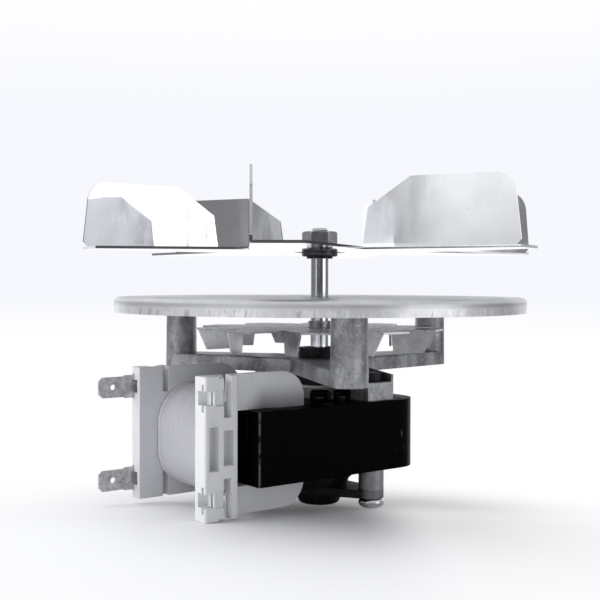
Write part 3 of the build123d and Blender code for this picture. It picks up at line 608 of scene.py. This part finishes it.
class MotorSizes(bpy.types.PropertyGroup):
    """Sizes of the fine pieces, in millimetres."""

    sheet_pitch: fine_size("Lamination", "Thickness of one lamination of the stack", 0.5, 0.2, 2.0)
    sheet_relief: fine_size("Lamination relief", "How far the sheets' edges differ", 0.035, 0.0, 0.2)
    wire_pitch: fine_size("Wire pitch", "Pitch of the turns that show through the tape", 0.62, 0.2, 2.0)
    tape_teeth: fine_size("Tape tooth", "Pitch of the cut edge of the tape", 0.78, 0.3, 3.0)
    shaft_thread: fine_size("Shaft thread", "Pitch of the thread under the impeller nut", 1.0, 0.3, 2.0)
    screw_thread: fine_size("Screw thread", "Pitch of the frame screws' thread", 0.7, 0.3, 2.0)
    recess_depth: fine_size("Recess", "Depth of the cross recess in the screw heads", 1.5, 0.2, 3.0)
    turned_sides: IntProperty(
        name="Turned sides", description="Sides round each turned piece", default=96, min=24, max=256)


class MotorColours(bpy.types.PropertyGroup):
    """Base colours of the finishes."""

    sheet: base_colour("Galvanised sheet", "Mounting disc", 0.82, 0.825, 0.85)
    plated: base_colour("Plated steel", "Screws and nut", 0.84, 0.85, 0.88)
    casting: base_colour("Casting", "Post frame and rotor cage", 0.38, 0.385, 0.4)
    black: base_colour("Blackened steel", "Bearing bridges", 0.012, 0.012, 0.014)
    bronze: base_colour("Bronze", "Bearing bushes", 0.4, 0.3, 0.2)
    felt: base_colour("Felt", "Oil rings", 0.4, 0.38, 0.33)
    varnish: base_colour("Varnish", "Lamination stack", 0.0015, 0.0015, 0.0018)
    copper: base_colour("Copper", "Shading rings", 0.02, 0.015, 0.012)
    plastic: base_colour("Plastic", "Coil bobbin", 0.85, 0.858, 0.878)
    wire: base_colour("Wire", "Winding under its tape", 0.42, 0.3, 0.2)
    tape: base_colour("Tape", "Tape round the winding", 0.5, 0.5, 0.53)
    tinned: base_colour("Tinned brass", "Terminal tabs", 0.66, 0.66, 0.67)
    ground: base_colour("Ground steel", "Shaft", 0.72, 0.73, 0.76)
    fan: base_colour("Fan sheet", "Cooling fan", 0.5, 0.505, 0.52)
    bright: base_colour("Impeller sheet", "Impeller", 0.9, 0.905, 0.93)
    floor: base_colour("Floor", "Studio floor", 0.93, 0.935, 0.955)
    backdrop: base_colour("Backdrop", "What the camera sees behind the motor", 0.925, 0.935, 0.985)


# Operators, one per kind of piece


class MOTOR_OT_dress_solids(bpy.types.Operator):
    """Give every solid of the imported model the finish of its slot"""

    bl_idname = "motor.dress_solids"
    bl_label = "Dress the solids"

    def execute(self, context):
        for node in NODES.values():
            slot = node.data.materials[0].name.split(".")[0].replace("_packed", "")
            node.material_slots[0].material = finish(slot)
        return {"FINISHED"}


class MOTOR_OT_lamination_skin(bpy.types.Operator):
    """Add the ridged edges of the sheets round the outside of the lamination stack"""

    bl_idname = "motor.lamination_skin"
    bl_label = "Lamination edges"

    front_radius = 1.2
    back_radius = 9.0
    limb_width = 6.1
    skin_depth = 0.3
    end_margin = 0.04
    least_proud = 0.01
    rows_per_sheet = 6
    unevenness_seed = 7

    def outline(self, low, high):
        """Open path round the stack from the front limb's end to the rear limb's: quarter circles
        about the four outer corners, in order, joined by straight runs. Returns points and normals."""
        quarter = np.linspace(0, np.pi / 2, 13)
        centres = ((low[0], low[1], self.front_radius, -np.pi),
                   (high[0], low[1], self.back_radius, -np.pi / 2),
                   (high[0], high[1], self.back_radius, 0.0),
                   (low[0], high[1], self.front_radius, np.pi / 2))
        points, normals = [], []
        for x, y, radius, start in centres:
            inward = np.array([np.sign(x - (low[0] + high[0]) / 2), np.sign(y)])
            turn = np.stack([np.cos(start + quarter), np.sin(start + quarter)], axis=-1)
            points.append(np.array([x, y]) - inward * radius + radius * turn)
            normals.append(turn)
        reach = self.limb_width - self.skin_depth
        ends = (np.array([[low[0], low[1] + reach]]), np.array([[low[0], high[1] - reach]]))
        back = np.array([[-1.0, 0.0]])
        return np.vstack([ends[0], *points, ends[1]]), np.vstack([back, *normals, back])

    def execute(self, context):
        """Profile along the path: outer side = ridge height, a cosine of level with one period per
        sheet, closed by a plain inner side; both path ends shrink to a point."""
        sizes = context.scene.motor_sizes
        low, high = box_mm("stator_core")
        path, normals = self.outline(low, high)
        bottom, top = low[2] + self.end_margin, high[2] - self.end_margin
        sheets = round((top - bottom) / sizes.sheet_pitch)
        levels = np.linspace(bottom, top, sheets * self.rows_per_sheet + 1)
        ridge = 0.5 + 0.5 * np.cos((levels - bottom) / (top - bottom) * sheets * TAU)
        uneven = np.random.default_rng(self.unevenness_seed).uniform(0.35, 1.0, sheets + 1)
        ridge *= uneven[np.round((levels - bottom) / (top - bottom) * sheets).astype(int)]
        proud = np.concatenate([self.least_proud + sizes.sheet_relief * ridge,
                                [-self.skin_depth, -self.skin_depth]])
        heights = np.concatenate([levels, [top, bottom]])
        rings = path[:, None, :] + normals[:, None, :] * proud[None, :, None]
        points = np.dstack([rings, np.broadcast_to(heights, rings.shape[:2])])
        caps = [np.broadcast_to(points[i].mean(axis=0), (1,) + points[i].shape) for i in (0, -1)]
        points = np.concatenate([caps[0], points, caps[1]])
        faces = grid_faces(points.shape[0], points.shape[1], False, True)
        make_piece("lamination_skin", points, faces, "black_laminations", "stator", 60.0)
        return {"FINISHED"}


class MOTOR_OT_coil_tape(bpy.types.Operator):
    """Wrap the winding in tape that shows the turns under it"""

    bl_idname = "motor.coil_tape"
    bl_label = "Coil tape"

    loop_samples = 520
    rows = 150
    corner_radius = 12.06
    skin = 0.34
    plain_proud = 0.12
    inner_depth = 0.25
    end_margin = 0.03
    rib_height = 0.045
    swell_height = 0.06
    slanted_swell_height = 0.05
    edge_from_rear = 1.3
    edge_wander = 0.35
    edge_half_width = 0.33

    def execute(self, context):
        """Offset from the rounded loop(t, y) = wire ribs, a cosine of y, plus soft waves of t and y,
        plus teeth along the rear edge; the inner side is a plain loop, so the wall is closed."""
        sizes = context.scene.motor_sizes
        low, high = box_mm("coil_tape")
        centre, half = (low + high) / 2, (high - low) / 2 - self.skin
        path, normals, length = rounded_loop(half[0], half[2], self.corner_radius, self.loop_samples)
        t = np.arange(self.loop_samples) * length / self.loop_samples
        y = np.linspace(low[1] + self.end_margin, high[1] - self.end_margin, self.rows)
        tt, yy = np.meshgrid(t, y, indexing="ij")
        wander = 0.4 * seeded_wave(tt, length, 3)
        ribs = self.rib_height * np.abs(np.cos(np.pi * yy / sizes.wire_pitch + wander))
        swell = self.swell_height * seeded_wave(tt, length, 5, 14) * np.cos(yy * 0.31 + 0.7)
        swell += self.slanted_swell_height * seeded_wave(tt + 3.0 * yy, length, 9, 23)
        edge_y = high[1] - self.edge_from_rear + self.edge_wander * seeded_wave(tt, length, 11, 6)
        teeth = 0.5 + 0.5 * np.cos(TAU * tt / sizes.tape_teeth)
        edge = np.exp(-((yy - edge_y) / self.edge_half_width) ** 2) * (0.05 + 0.11 * teeth)
        proud = np.clip(self.plain_proud + ribs + swell + edge, 0.0, self.skin)
        outer = path[:, None, :] + normals[:, None, :] * proud[:, :, None]
        inner = path[:, None, :] - normals[:, None, :] * np.full((1, 2, 1), self.inner_depth)
        x = np.concatenate([outer[..., 0], inner[..., 0]], axis=1) + centre[0]
        z = np.concatenate([outer[..., 1], inner[..., 1]], axis=1) + centre[2]
        y_all = np.broadcast_to(np.concatenate([y, [y[-1], y[0]]]), x.shape)
        points = np.stack([x, y_all, z], axis=-1)
        faces = grid_faces(points.shape[0], points.shape[1], True, True)
        tape = make_piece("wrapped_tape", points, faces, "clear_tape", "stator", 70.0)
        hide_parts("coil_tape")
        return {"FINISHED"}


class MOTOR_OT_shaft(bpy.types.Operator):
    """Turn the shaft with its thread, clip grooves and rounded foot"""

    bl_idname = "motor.shaft"
    bl_label = "Shaft"

    groove_depth = 0.4
    thread_length = 9.5
    thread_depth = 0.42
    chamfer = 0.8
    rows_per_millimetre = 12
    groove_wall = 0.005

    def execute(self, context):
        """Radius(level, angle) = shaft radius, less a V thread near the top, less a groove wherever
        a clip sits, less a chamfer at the top and a quarter round at the foot."""
        sizes = context.scene.motor_sizes
        low, high = box_mm("rotor_shaft")
        radius = (high[0] - low[0]) / 2
        start = high[2] - self.thread_length
        foot = low[2] + self.chamfer * (1 - np.cos(np.linspace(0, np.pi / 2, 7)))
        plain = np.linspace(low[2] + self.chamfer, start, 60)[1:]
        threaded = np.linspace(start, high[2], int(self.thread_length * self.rows_per_millimetre))[1:]
        grooves = [[corner[2] for corner in box_mm(name)] for name in ("impeller_circlip", "fan_circlip")]
        walls = (-self.groove_wall, self.groove_wall)
        edges = [level + wall for pair in grooves for level in pair for wall in walls]
        levels = np.unique(np.concatenate([foot, plain, threaded, edges]))
        angles = round_angles(sizes.turned_sides)
        cut = thread_cut(levels, angles, sizes.shaft_thread, self.thread_depth, start, high[2] + 2.0)
        radii = radius - cut
        for bottom, top in grooves:
            inside = (levels > bottom) & (levels < top)
            radii[inside] = radius - self.groove_depth
        over = np.clip(levels - (high[2] - self.chamfer), 0, None)
        radii = np.minimum(radii, (radius - over)[:, None])
        under = np.clip((low[2] + self.chamfer - levels) / self.chamfer, 0, 1)
        radii = np.minimum(radii, (radius - self.chamfer * (1 - np.sqrt(1 - under ** 2)))[:, None])
        levels = np.concatenate([[low[2]], levels, [high[2]]])
        middle = np.zeros((1, sizes.turned_sides))
        points, faces = turned_surface(levels, np.vstack([middle, radii, middle]))
        shaft = make_piece("threaded_shaft", points, faces, "ground_steel", "rotor", 30.0)
        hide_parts("rotor_shaft")
        return {"FINISHED"}


def cross_recess(radii, angles, half_width, half_length, depth):
    """Depth of a cross recess at each radius and angle: full inside two crossed bars, sloping to
    nothing at their edges and towards their ends."""
    x, y = radii[:, None] * np.cos(angles), radii[:, None] * np.sin(angles)

    def bar(along, across):
        side = np.clip((half_width - np.abs(across)) / (0.35 * half_width), 0, 1)
        reach = np.clip((half_length - np.abs(along)) / (0.75 * half_length), 0, 1)
        return np.minimum(side, reach)

    return depth * np.maximum(bar(x, y), bar(y, x))


class MOTOR_OT_impeller_nut(bpy.types.Operator):
    """Form the impeller nut with a flat towards the front and both ends chamfered"""

    bl_idname = "motor.impeller_nut"
    bl_label = "Impeller nut"

    half_across_flats = 5.0
    chamfer_radius = 5.35
    chamfer_height = 0.45
    bore_gap = 0.03
    front_flat_degrees = -128.0
    turns = 180

    def execute(self, context):
        """Radius(level, angle) = half the width across flats over the cosine of the angle to the
        nearest flat, no more than a 45 degree cone at each end; the bore closes the ring."""
        low, high = box_mm("impeller_nut")
        shaft_low, shaft_high = box_mm("rotor_shaft")
        bore = (shaft_high[0] - shaft_low[0]) / 2 + self.bore_gap
        angles = np.arange(self.turns) * 360.0 / self.turns
        from_flat = (angles - self.front_flat_degrees + 30.0) % 60.0 - 30.0
        hexagon = self.half_across_flats / np.cos(np.radians(from_flat))
        near_end = np.linspace(0.0, self.chamfer_height, 6)
        levels = np.concatenate([low[2] + near_end, high[2] - near_end[::-1]])
        cone = self.chamfer_radius + np.minimum(levels - low[2], high[2] - levels)
        radii = np.minimum(hexagon[None, :], cone[:, None])
        inner = np.full((1, self.turns), bore)
        levels = np.concatenate([[low[2]], levels, [high[2]]])
        points, faces = turned_surface(levels, np.vstack([inner, radii, inner]), closed=True)
        nut = make_piece("chamfered_nut", points, faces, "zinc_plated_steel", "rotor", 20.0)
        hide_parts("impeller_nut")
        return {"FINISHED"}


class MOTOR_OT_frame_screws(bpy.types.Operator):
    """Turn the two frame screws with pan heads, cross recesses and threaded shanks"""

    bl_idname = "motor.frame_screws"
    bl_label = "Frame screws"

    head_radius = 4.05
    head_height = 3.1
    head_edge_radius = 1.7
    head_shoulder_radius = 1.4
    shank_radius = 2.0
    plain_shank = 7.0
    thread_depth = 0.28
    recess_half_width = 0.62
    recess_half_length = 2.1

    def execute(self, context):
        """Head level(r, angle) = flat in the middle, a quarter circle at the edge, less the cross
        recess; then a smaller quarter circle to the flat seat, and a shank of radius(level, angle)
        with a V thread."""
        sizes = context.scene.motor_sizes
        low, high = box_mm("frame_screws")
        x = high[0] - self.head_radius
        y = high[1] - self.head_radius
        turns = sizes.turned_sides
        angles = round_angles(turns)
        edge = self.head_edge_radius
        quarter = np.linspace(0, np.pi / 2, 22)
        flat_radius = self.head_radius - edge
        r = np.concatenate([np.linspace(0, flat_radius, 34)[:-1], flat_radius + edge * np.sin(quarter)])
        beyond = np.clip((r - flat_radius) / edge, 0, 1)
        rounding = edge * (1 - np.sqrt(1 - beyond ** 2))
        recess = cross_recess(r, angles, self.recess_half_width, self.recess_half_length, sizes.recess_depth)
        head_levels = low[2] + np.maximum(rounding[:, None], recess)
        seat = low[2] + self.head_height
        shank, shank_radii = threaded_shank(seat, high[2], self.plain_shank, self.shank_radius,
                                            self.thread_depth, sizes.screw_thread, angles)
        shoulder = self.head_shoulder_radius
        turn = np.linspace(0, np.pi / 2, 9)
        rim = all_round(self.head_radius - shoulder * (1 - np.cos(turn)), turns)
        rim_levels = all_round(seat - shoulder * (1 - np.sin(turn)), turns)
        radii = np.vstack([all_round(r, turns), rim, shank_radii, np.zeros((1, turns))])
        levels = np.vstack([head_levels, rim_levels, shank, np.full((1, turns), high[2])])
        points, faces = turned_surface(levels, radii, ((x, -y), (-x, y)))
        piece = make_piece("pan_headed_frame_screws", points, faces, "zinc_plated_steel", "stator", 40.0)
        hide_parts("frame_screws")
        return {"FINISHED"}


class MOTOR_OT_disc_screws(bpy.types.Operator):
    """Turn the three countersunk disc screws with cross recesses"""

    bl_idname = "motor.disc_screws"
    bl_label = "Disc screws"

    head_radius = 3.6
    shank_radius = 2.0
    thread_depth = 0.3
    recess_half_width = 0.55
    recess_half_length = 1.9
    head_sunk = 0.005
    circle_radius = 51.2
    first_degrees = 1.2

    def execute(self, context):
        """Head top is flat, less the cross recess(r, angle); a cone at 45 degrees leads to a shank
        of radius(level, angle) with a V thread and a chamfered tip."""
        sizes = context.scene.motor_sizes
        low, high = box_mm("disc_screws")
        turns = sizes.turned_sides
        angles = round_angles(turns)
        r = np.concatenate([np.linspace(0, 2.0, 30), np.linspace(2.1, self.head_radius, 8)])
        recess = cross_recess(r, angles, self.recess_half_width, self.recess_half_length, sizes.recess_depth)
        top = high[2] - self.head_sunk
        edge = top - (self.head_radius - self.shank_radius)
        shank, shank_radii = threaded_shank(edge, low[2], 0.0, self.shank_radius, self.thread_depth,
                                            sizes.screw_thread, angles)
        radii = np.vstack([all_round(r, turns), shank_radii, np.zeros((1, turns))])
        levels = np.vstack([top - recess, shank, np.full((1, turns), low[2])])
        centres = [(self.circle_radius * np.cos(a), self.circle_radius * np.sin(a))
                   for a in radians(self.first_degrees) + round_angles(3)]
        points, faces = turned_surface(levels, radii, centres)
        piece = make_piece("recessed_disc_screws", points, faces, "zinc_plated_steel", "stator", 40.0)
        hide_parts("disc_screws")
        return {"FINISHED"}


class MOTOR_OT_stack_rivets(bpy.types.Operator):
    """Form the four rivets of the stack with domed, slightly uneven heads"""

    bl_idname = "motor.stack_rivets"
    bl_label = "Stack rivets"

    head_radius = 1.9
    shank_radius = 1.2
    head_height = 0.6

    def execute(self, context):
        """Each end: level(r) = a quarter ellipse from the middle to the rim; shank between them.
        Head radius(angle) is a circle plus two small sines, as a hand set rivet has."""
        low, high = box_mm("stack_rivets")
        turns = context.scene.motor_sizes.turned_sides // 2
        angles = round_angles(turns)
        r = np.sin(np.linspace(0, np.pi / 2, 12))
        rise = self.head_height * np.sqrt(1 - r ** 2) ** 1.2
        uneven = 1.0 - 0.03 * (1 + np.sin(2 * angles + 0.7)) / 2 - 0.02 * (1 + np.sin(3 * angles)) / 2
        head = self.head_radius * r[:, None] * uneven
        neck = np.full((2, turns), self.shank_radius)
        radii = np.vstack([head, neck, head[::-1]])
        bottom, top = low[2] + self.head_height, high[2] - self.head_height
        levels = np.concatenate([bottom - rise, [bottom, top], (top + rise)[::-1]])
        y = high[1] - self.head_radius
        centres = [(x, side) for x in (low[0] + self.head_radius, high[0] - self.head_radius)
                   for side in (-y, y)]
        points, faces = turned_surface(levels, radii, centres)
        piece = make_piece("domed_stack_rivets", points, faces, "black_steel", "stator", 50.0)
        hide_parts("stack_rivets")
        return {"FINISHED"}


class MOTOR_OT_studio(bpy.types.Operator):
    """Set the motor on a pale floor under soft lamps and place the camera"""

    bl_idname = "motor.studio"
    bl_label = "Studio"

    floor_slope_x = -0.079
    floor_slope_y = -0.0474
    floor_level = -67.65
    floor_reach = 400.0
    floor_lines = 9
    shadow_offset = (45.0, 50.0, 61.0)
    shadow_radius = 34.0
    shadow_end = 150.0
    camera_place = (-197.7, -252.5, 4.2)
    camera_heading = -36.916
    camera_drop = 0.943
    camera_roll = 0.173
    camera_lens = 58.706
    lamps = (
        ("top_softbox", (-100, 250, 900), (0, 0, 0), 1100, 8.6),
        ("left_softbox", (-900, 100, 250), (0, 0, -20), 700, 4.6),
        ("right_softbox", (700, -450, 300), (0, 0, -20), 600, 1.3),
    )

    def make_floor(self, colours):
        """Level(x, y) = a plane through the motor's lowest contacts."""
        line = np.linspace(-self.floor_reach, self.floor_reach, self.floor_lines)
        x, y = np.meshgrid(line, line, indexing="ij")
        z = self.floor_level + self.floor_slope_x * x + self.floor_slope_y * y
        points = np.stack([x, y, z], axis=-1).reshape(-1, 3) * MM
        faces = grid_faces(self.floor_lines, self.floor_lines, False, False)
        mesh = bpy.data.meshes.new("studio_floor")
        mesh.from_pydata(points.tolist(), [], faces.tolist())
        floor = add_object("studio_floor", mesh)
        mesh.materials.append(self.floor_finish(colours))

    def floor_finish(self, colours):
        """Pale floor that keeps the shadow near the motor, glows with painted light at the front right that
        lightens the shadow there, and fades into the backdrop further off."""
        f = new_finish("studio_floor")
        place = f.place()
        far = f.mask(f.span(f.shift(place, self.shadow_offset)), self.shadow_radius, self.shadow_end)
        nearer = 1.0 - f.mask(f.along(place, PHOTO_AHEAD), -20.0, 16.0)
        # Painted light: a glow at the front right that lightens the shadow there for camera rays.
        painted_light = f.mask(f.along(place, PHOTO_RIGHT), 8.0, 34.0) * nearer * 0.55
        far = 1.0 - (1.0 - far) * (1.0 - painted_light)
        camera_ray = f.ray("Camera")
        grain = f.noise(place, 0.02, 3.0)
        base = f.shades(grain, colours.floor, 0.99, 1.01)
        matt = f.node("ShaderNodeBsdfPrincipled", None, {"Base Color": base, "Roughness": 0.6,
                                                         "Specular IOR Level": 0.12})
        glow = f.node("ShaderNodeEmission", None, {"Color": tone((1.0, 1.0, 1.0)), "Strength": 1.0})
        f.node_output(f.mix_shader(far * camera_ray, matt, glow))
        return f.owner

    def mirrored_room(self, f, direction, upward):
        """What polished metal sees: white behind the motor, light grey overhead, a dim room at the
        sides, darkest where the camera stands, and two upright softboxes beside that place."""
        level = f.vector_math("NORMALIZE", f.stretch(direction, (1.0, 1.0, 0.0)))
        overhead = f.mask(upward, 0.12, 0.42)
        behind = f.mask(self.towards(f, level, 0.0), 0.55, 0.8)
        camera_side = f.mask(self.towards(f, level, 180.0), 0.7, 0.9)
        left_box = f.mask(self.towards(f, level, -135.5), 0.982, 0.9905)
        left_box = left_box * (0.45 + 0.28 * f.mask(upward, 0.03, 0.12))
        right_box = f.mask(self.towards(f, level, 121.0), 0.93, 0.97)
        grey = 0.2 - 0.12 * camera_side
        low = grey + behind * 0.75 + left_box + right_box * 1.3
        bright = low * (1.0 - overhead) + overhead * 0.56
        return f.mix(bright * 0.5, tone((0.0, 0.0, 0.0)), tone((1.94, 1.96, 2.0)))

    def towards(self, f, level, degrees_round):
        """Cosine between a level direction and a heading counted from the view direction."""
        heading = radians(self.camera_heading - degrees_round)
        ahead = (-np.sin(heading), np.cos(heading), 0.0)
        return f.along(level, ahead)

    def make_world(self, colours):
        """Backdrop for camera and mirror rays, plain fill light for everything else."""
        world = bpy.data.worlds.new("studio_world")
        bpy.context.scene.world = world
        world.use_nodes = True
        f = Finish(world, world.node_tree)
        direction = f.node("ShaderNodeTexCoord", output="Generated")
        upward = f.axis(direction, "Z")
        band = f.mask(upward, -0.06, -0.005) * (1.0 - f.mask(upward, 0.15, 0.3))
        sky = f.mix(band, tone((1.0, 1.0, 1.0)), tone(colours.backdrop))
        room = self.mirrored_room(f, direction, upward)
        seen, mirrored, fill = (
            f.node("ShaderNodeBackground", None, {"Color": colour, "Strength": strength})
            for colour, strength in ((sky, 1.0), (room, 1.12), (tone(colours.backdrop), 0.25)))
        camera_ray = f.ray("Camera")
        glossy_ray = f.ray("Glossy")
        shader = f.mix_shader(camera_ray, f.mix_shader(glossy_ray, fill, mirrored), seen)
        f.node_output(shader, "ShaderNodeOutputWorld")

    def make_lamp(self, name, place, target, size, power):
        """Square soft lamp that looks at a target; places are in millimetres."""
        data = bpy.data.lights.new(name, "AREA")
        data.shape = "SQUARE"
        data.size = size * MM
        data.energy = power
        lamp = add_object(name, data)
        lamp.visible_glossy = False
        back = np.array(place, float) - np.array(target, float)
        back /= np.linalg.norm(back)
        side = np.cross((0.0, 0.0, 1.0) if abs(back[2]) < 0.99 else (0.0, 1.0, 0.0), back)
        side /= np.linalg.norm(side)
        up = np.cross(back, side)
        turn = Matrix([list(row) for row in np.stack([side, up, back], axis=1)])
        lamp.matrix_world = Matrix.Translation([v * MM for v in place]) @ turn.to_4x4()

    def make_camera(self):
        """Camera turned by heading, drop and roll, in that order."""
        data = bpy.data.cameras.new("studio_camera")
        data.lens = self.camera_lens
        data.sensor_width = 36.0
        data.clip_start = 0.01
        camera = add_object("studio_camera", data)
        turn = Matrix.Rotation(radians(self.camera_heading), 3, "Z")
        turn = turn @ Matrix.Rotation(radians(90.0 - self.camera_drop), 3, "X")
        turn = turn @ Matrix.Rotation(radians(self.camera_roll), 3, "Z")
        camera.matrix_world = Matrix.Translation([v * MM for v in self.camera_place]) @ turn.to_4x4()
        bpy.context.scene.camera = camera

    def execute(self, context):
        colours = context.scene.motor_colours
        self.make_camera()
        self.make_floor(colours)
        self.make_world(colours)
        for name, place, target, size, power in self.lamps:
            self.make_lamp(name, place, target, size, power)
        context.scene.view_settings.view_transform = "Standard"
        return {"FINISHED"}


class MOTOR_PT_dressing(bpy.types.Panel):
    """Lists the steps of the dressing and its sizes and colours"""

    bl_idname = "MOTOR_PT_dressing"
    bl_label = "Fan Motor"
    bl_space_type = "VIEW_3D"
    bl_region_type = "UI"
    bl_category = "Fan Motor"

    def draw(self, context):
        for step in STEPS:
            self.layout.operator(step.bl_idname)
        for group in (context.scene.motor_sizes, context.scene.motor_colours):
            for name in group.__annotations__:
                self.layout.prop(group, name)


STEPS = (
    MOTOR_OT_dress_solids,
    MOTOR_OT_lamination_skin,
    MOTOR_OT_coil_tape,
    MOTOR_OT_shaft,
    MOTOR_OT_impeller_nut,
    MOTOR_OT_frame_screws,
    MOTOR_OT_disc_screws,
    MOTOR_OT_stack_rivets,
    MOTOR_OT_studio,
)
CLASSES = (MotorSizes, MotorColours) + STEPS + (MOTOR_PT_dressing,)


def register():
    for cls in CLASSES:
        bpy.utils.register_class(cls)
    bpy.types.Scene.motor_sizes = PointerProperty(type=MotorSizes)
    bpy.types.Scene.motor_colours = PointerProperty(type=MotorColours)


def unregister():
    del bpy.types.Scene.motor_colours
    del bpy.types.Scene.motor_sizes
    for cls in reversed(CLASSES):
        bpy.utils.unregister_class(cls)


def main():
    """Runs every step in order."""
    register()
    bpy.ops.motor.dress_solids()
    bpy.ops.motor.lamination_skin()
    bpy.ops.motor.coil_tape()
    bpy.ops.motor.shaft()
    bpy.ops.motor.impeller_nut()
    bpy.ops.motor.frame_screws()
    bpy.ops.motor.disc_screws()
    bpy.ops.motor.stack_rivets()
    bpy.ops.motor.studio()


if __name__ == "__main__":
    main()
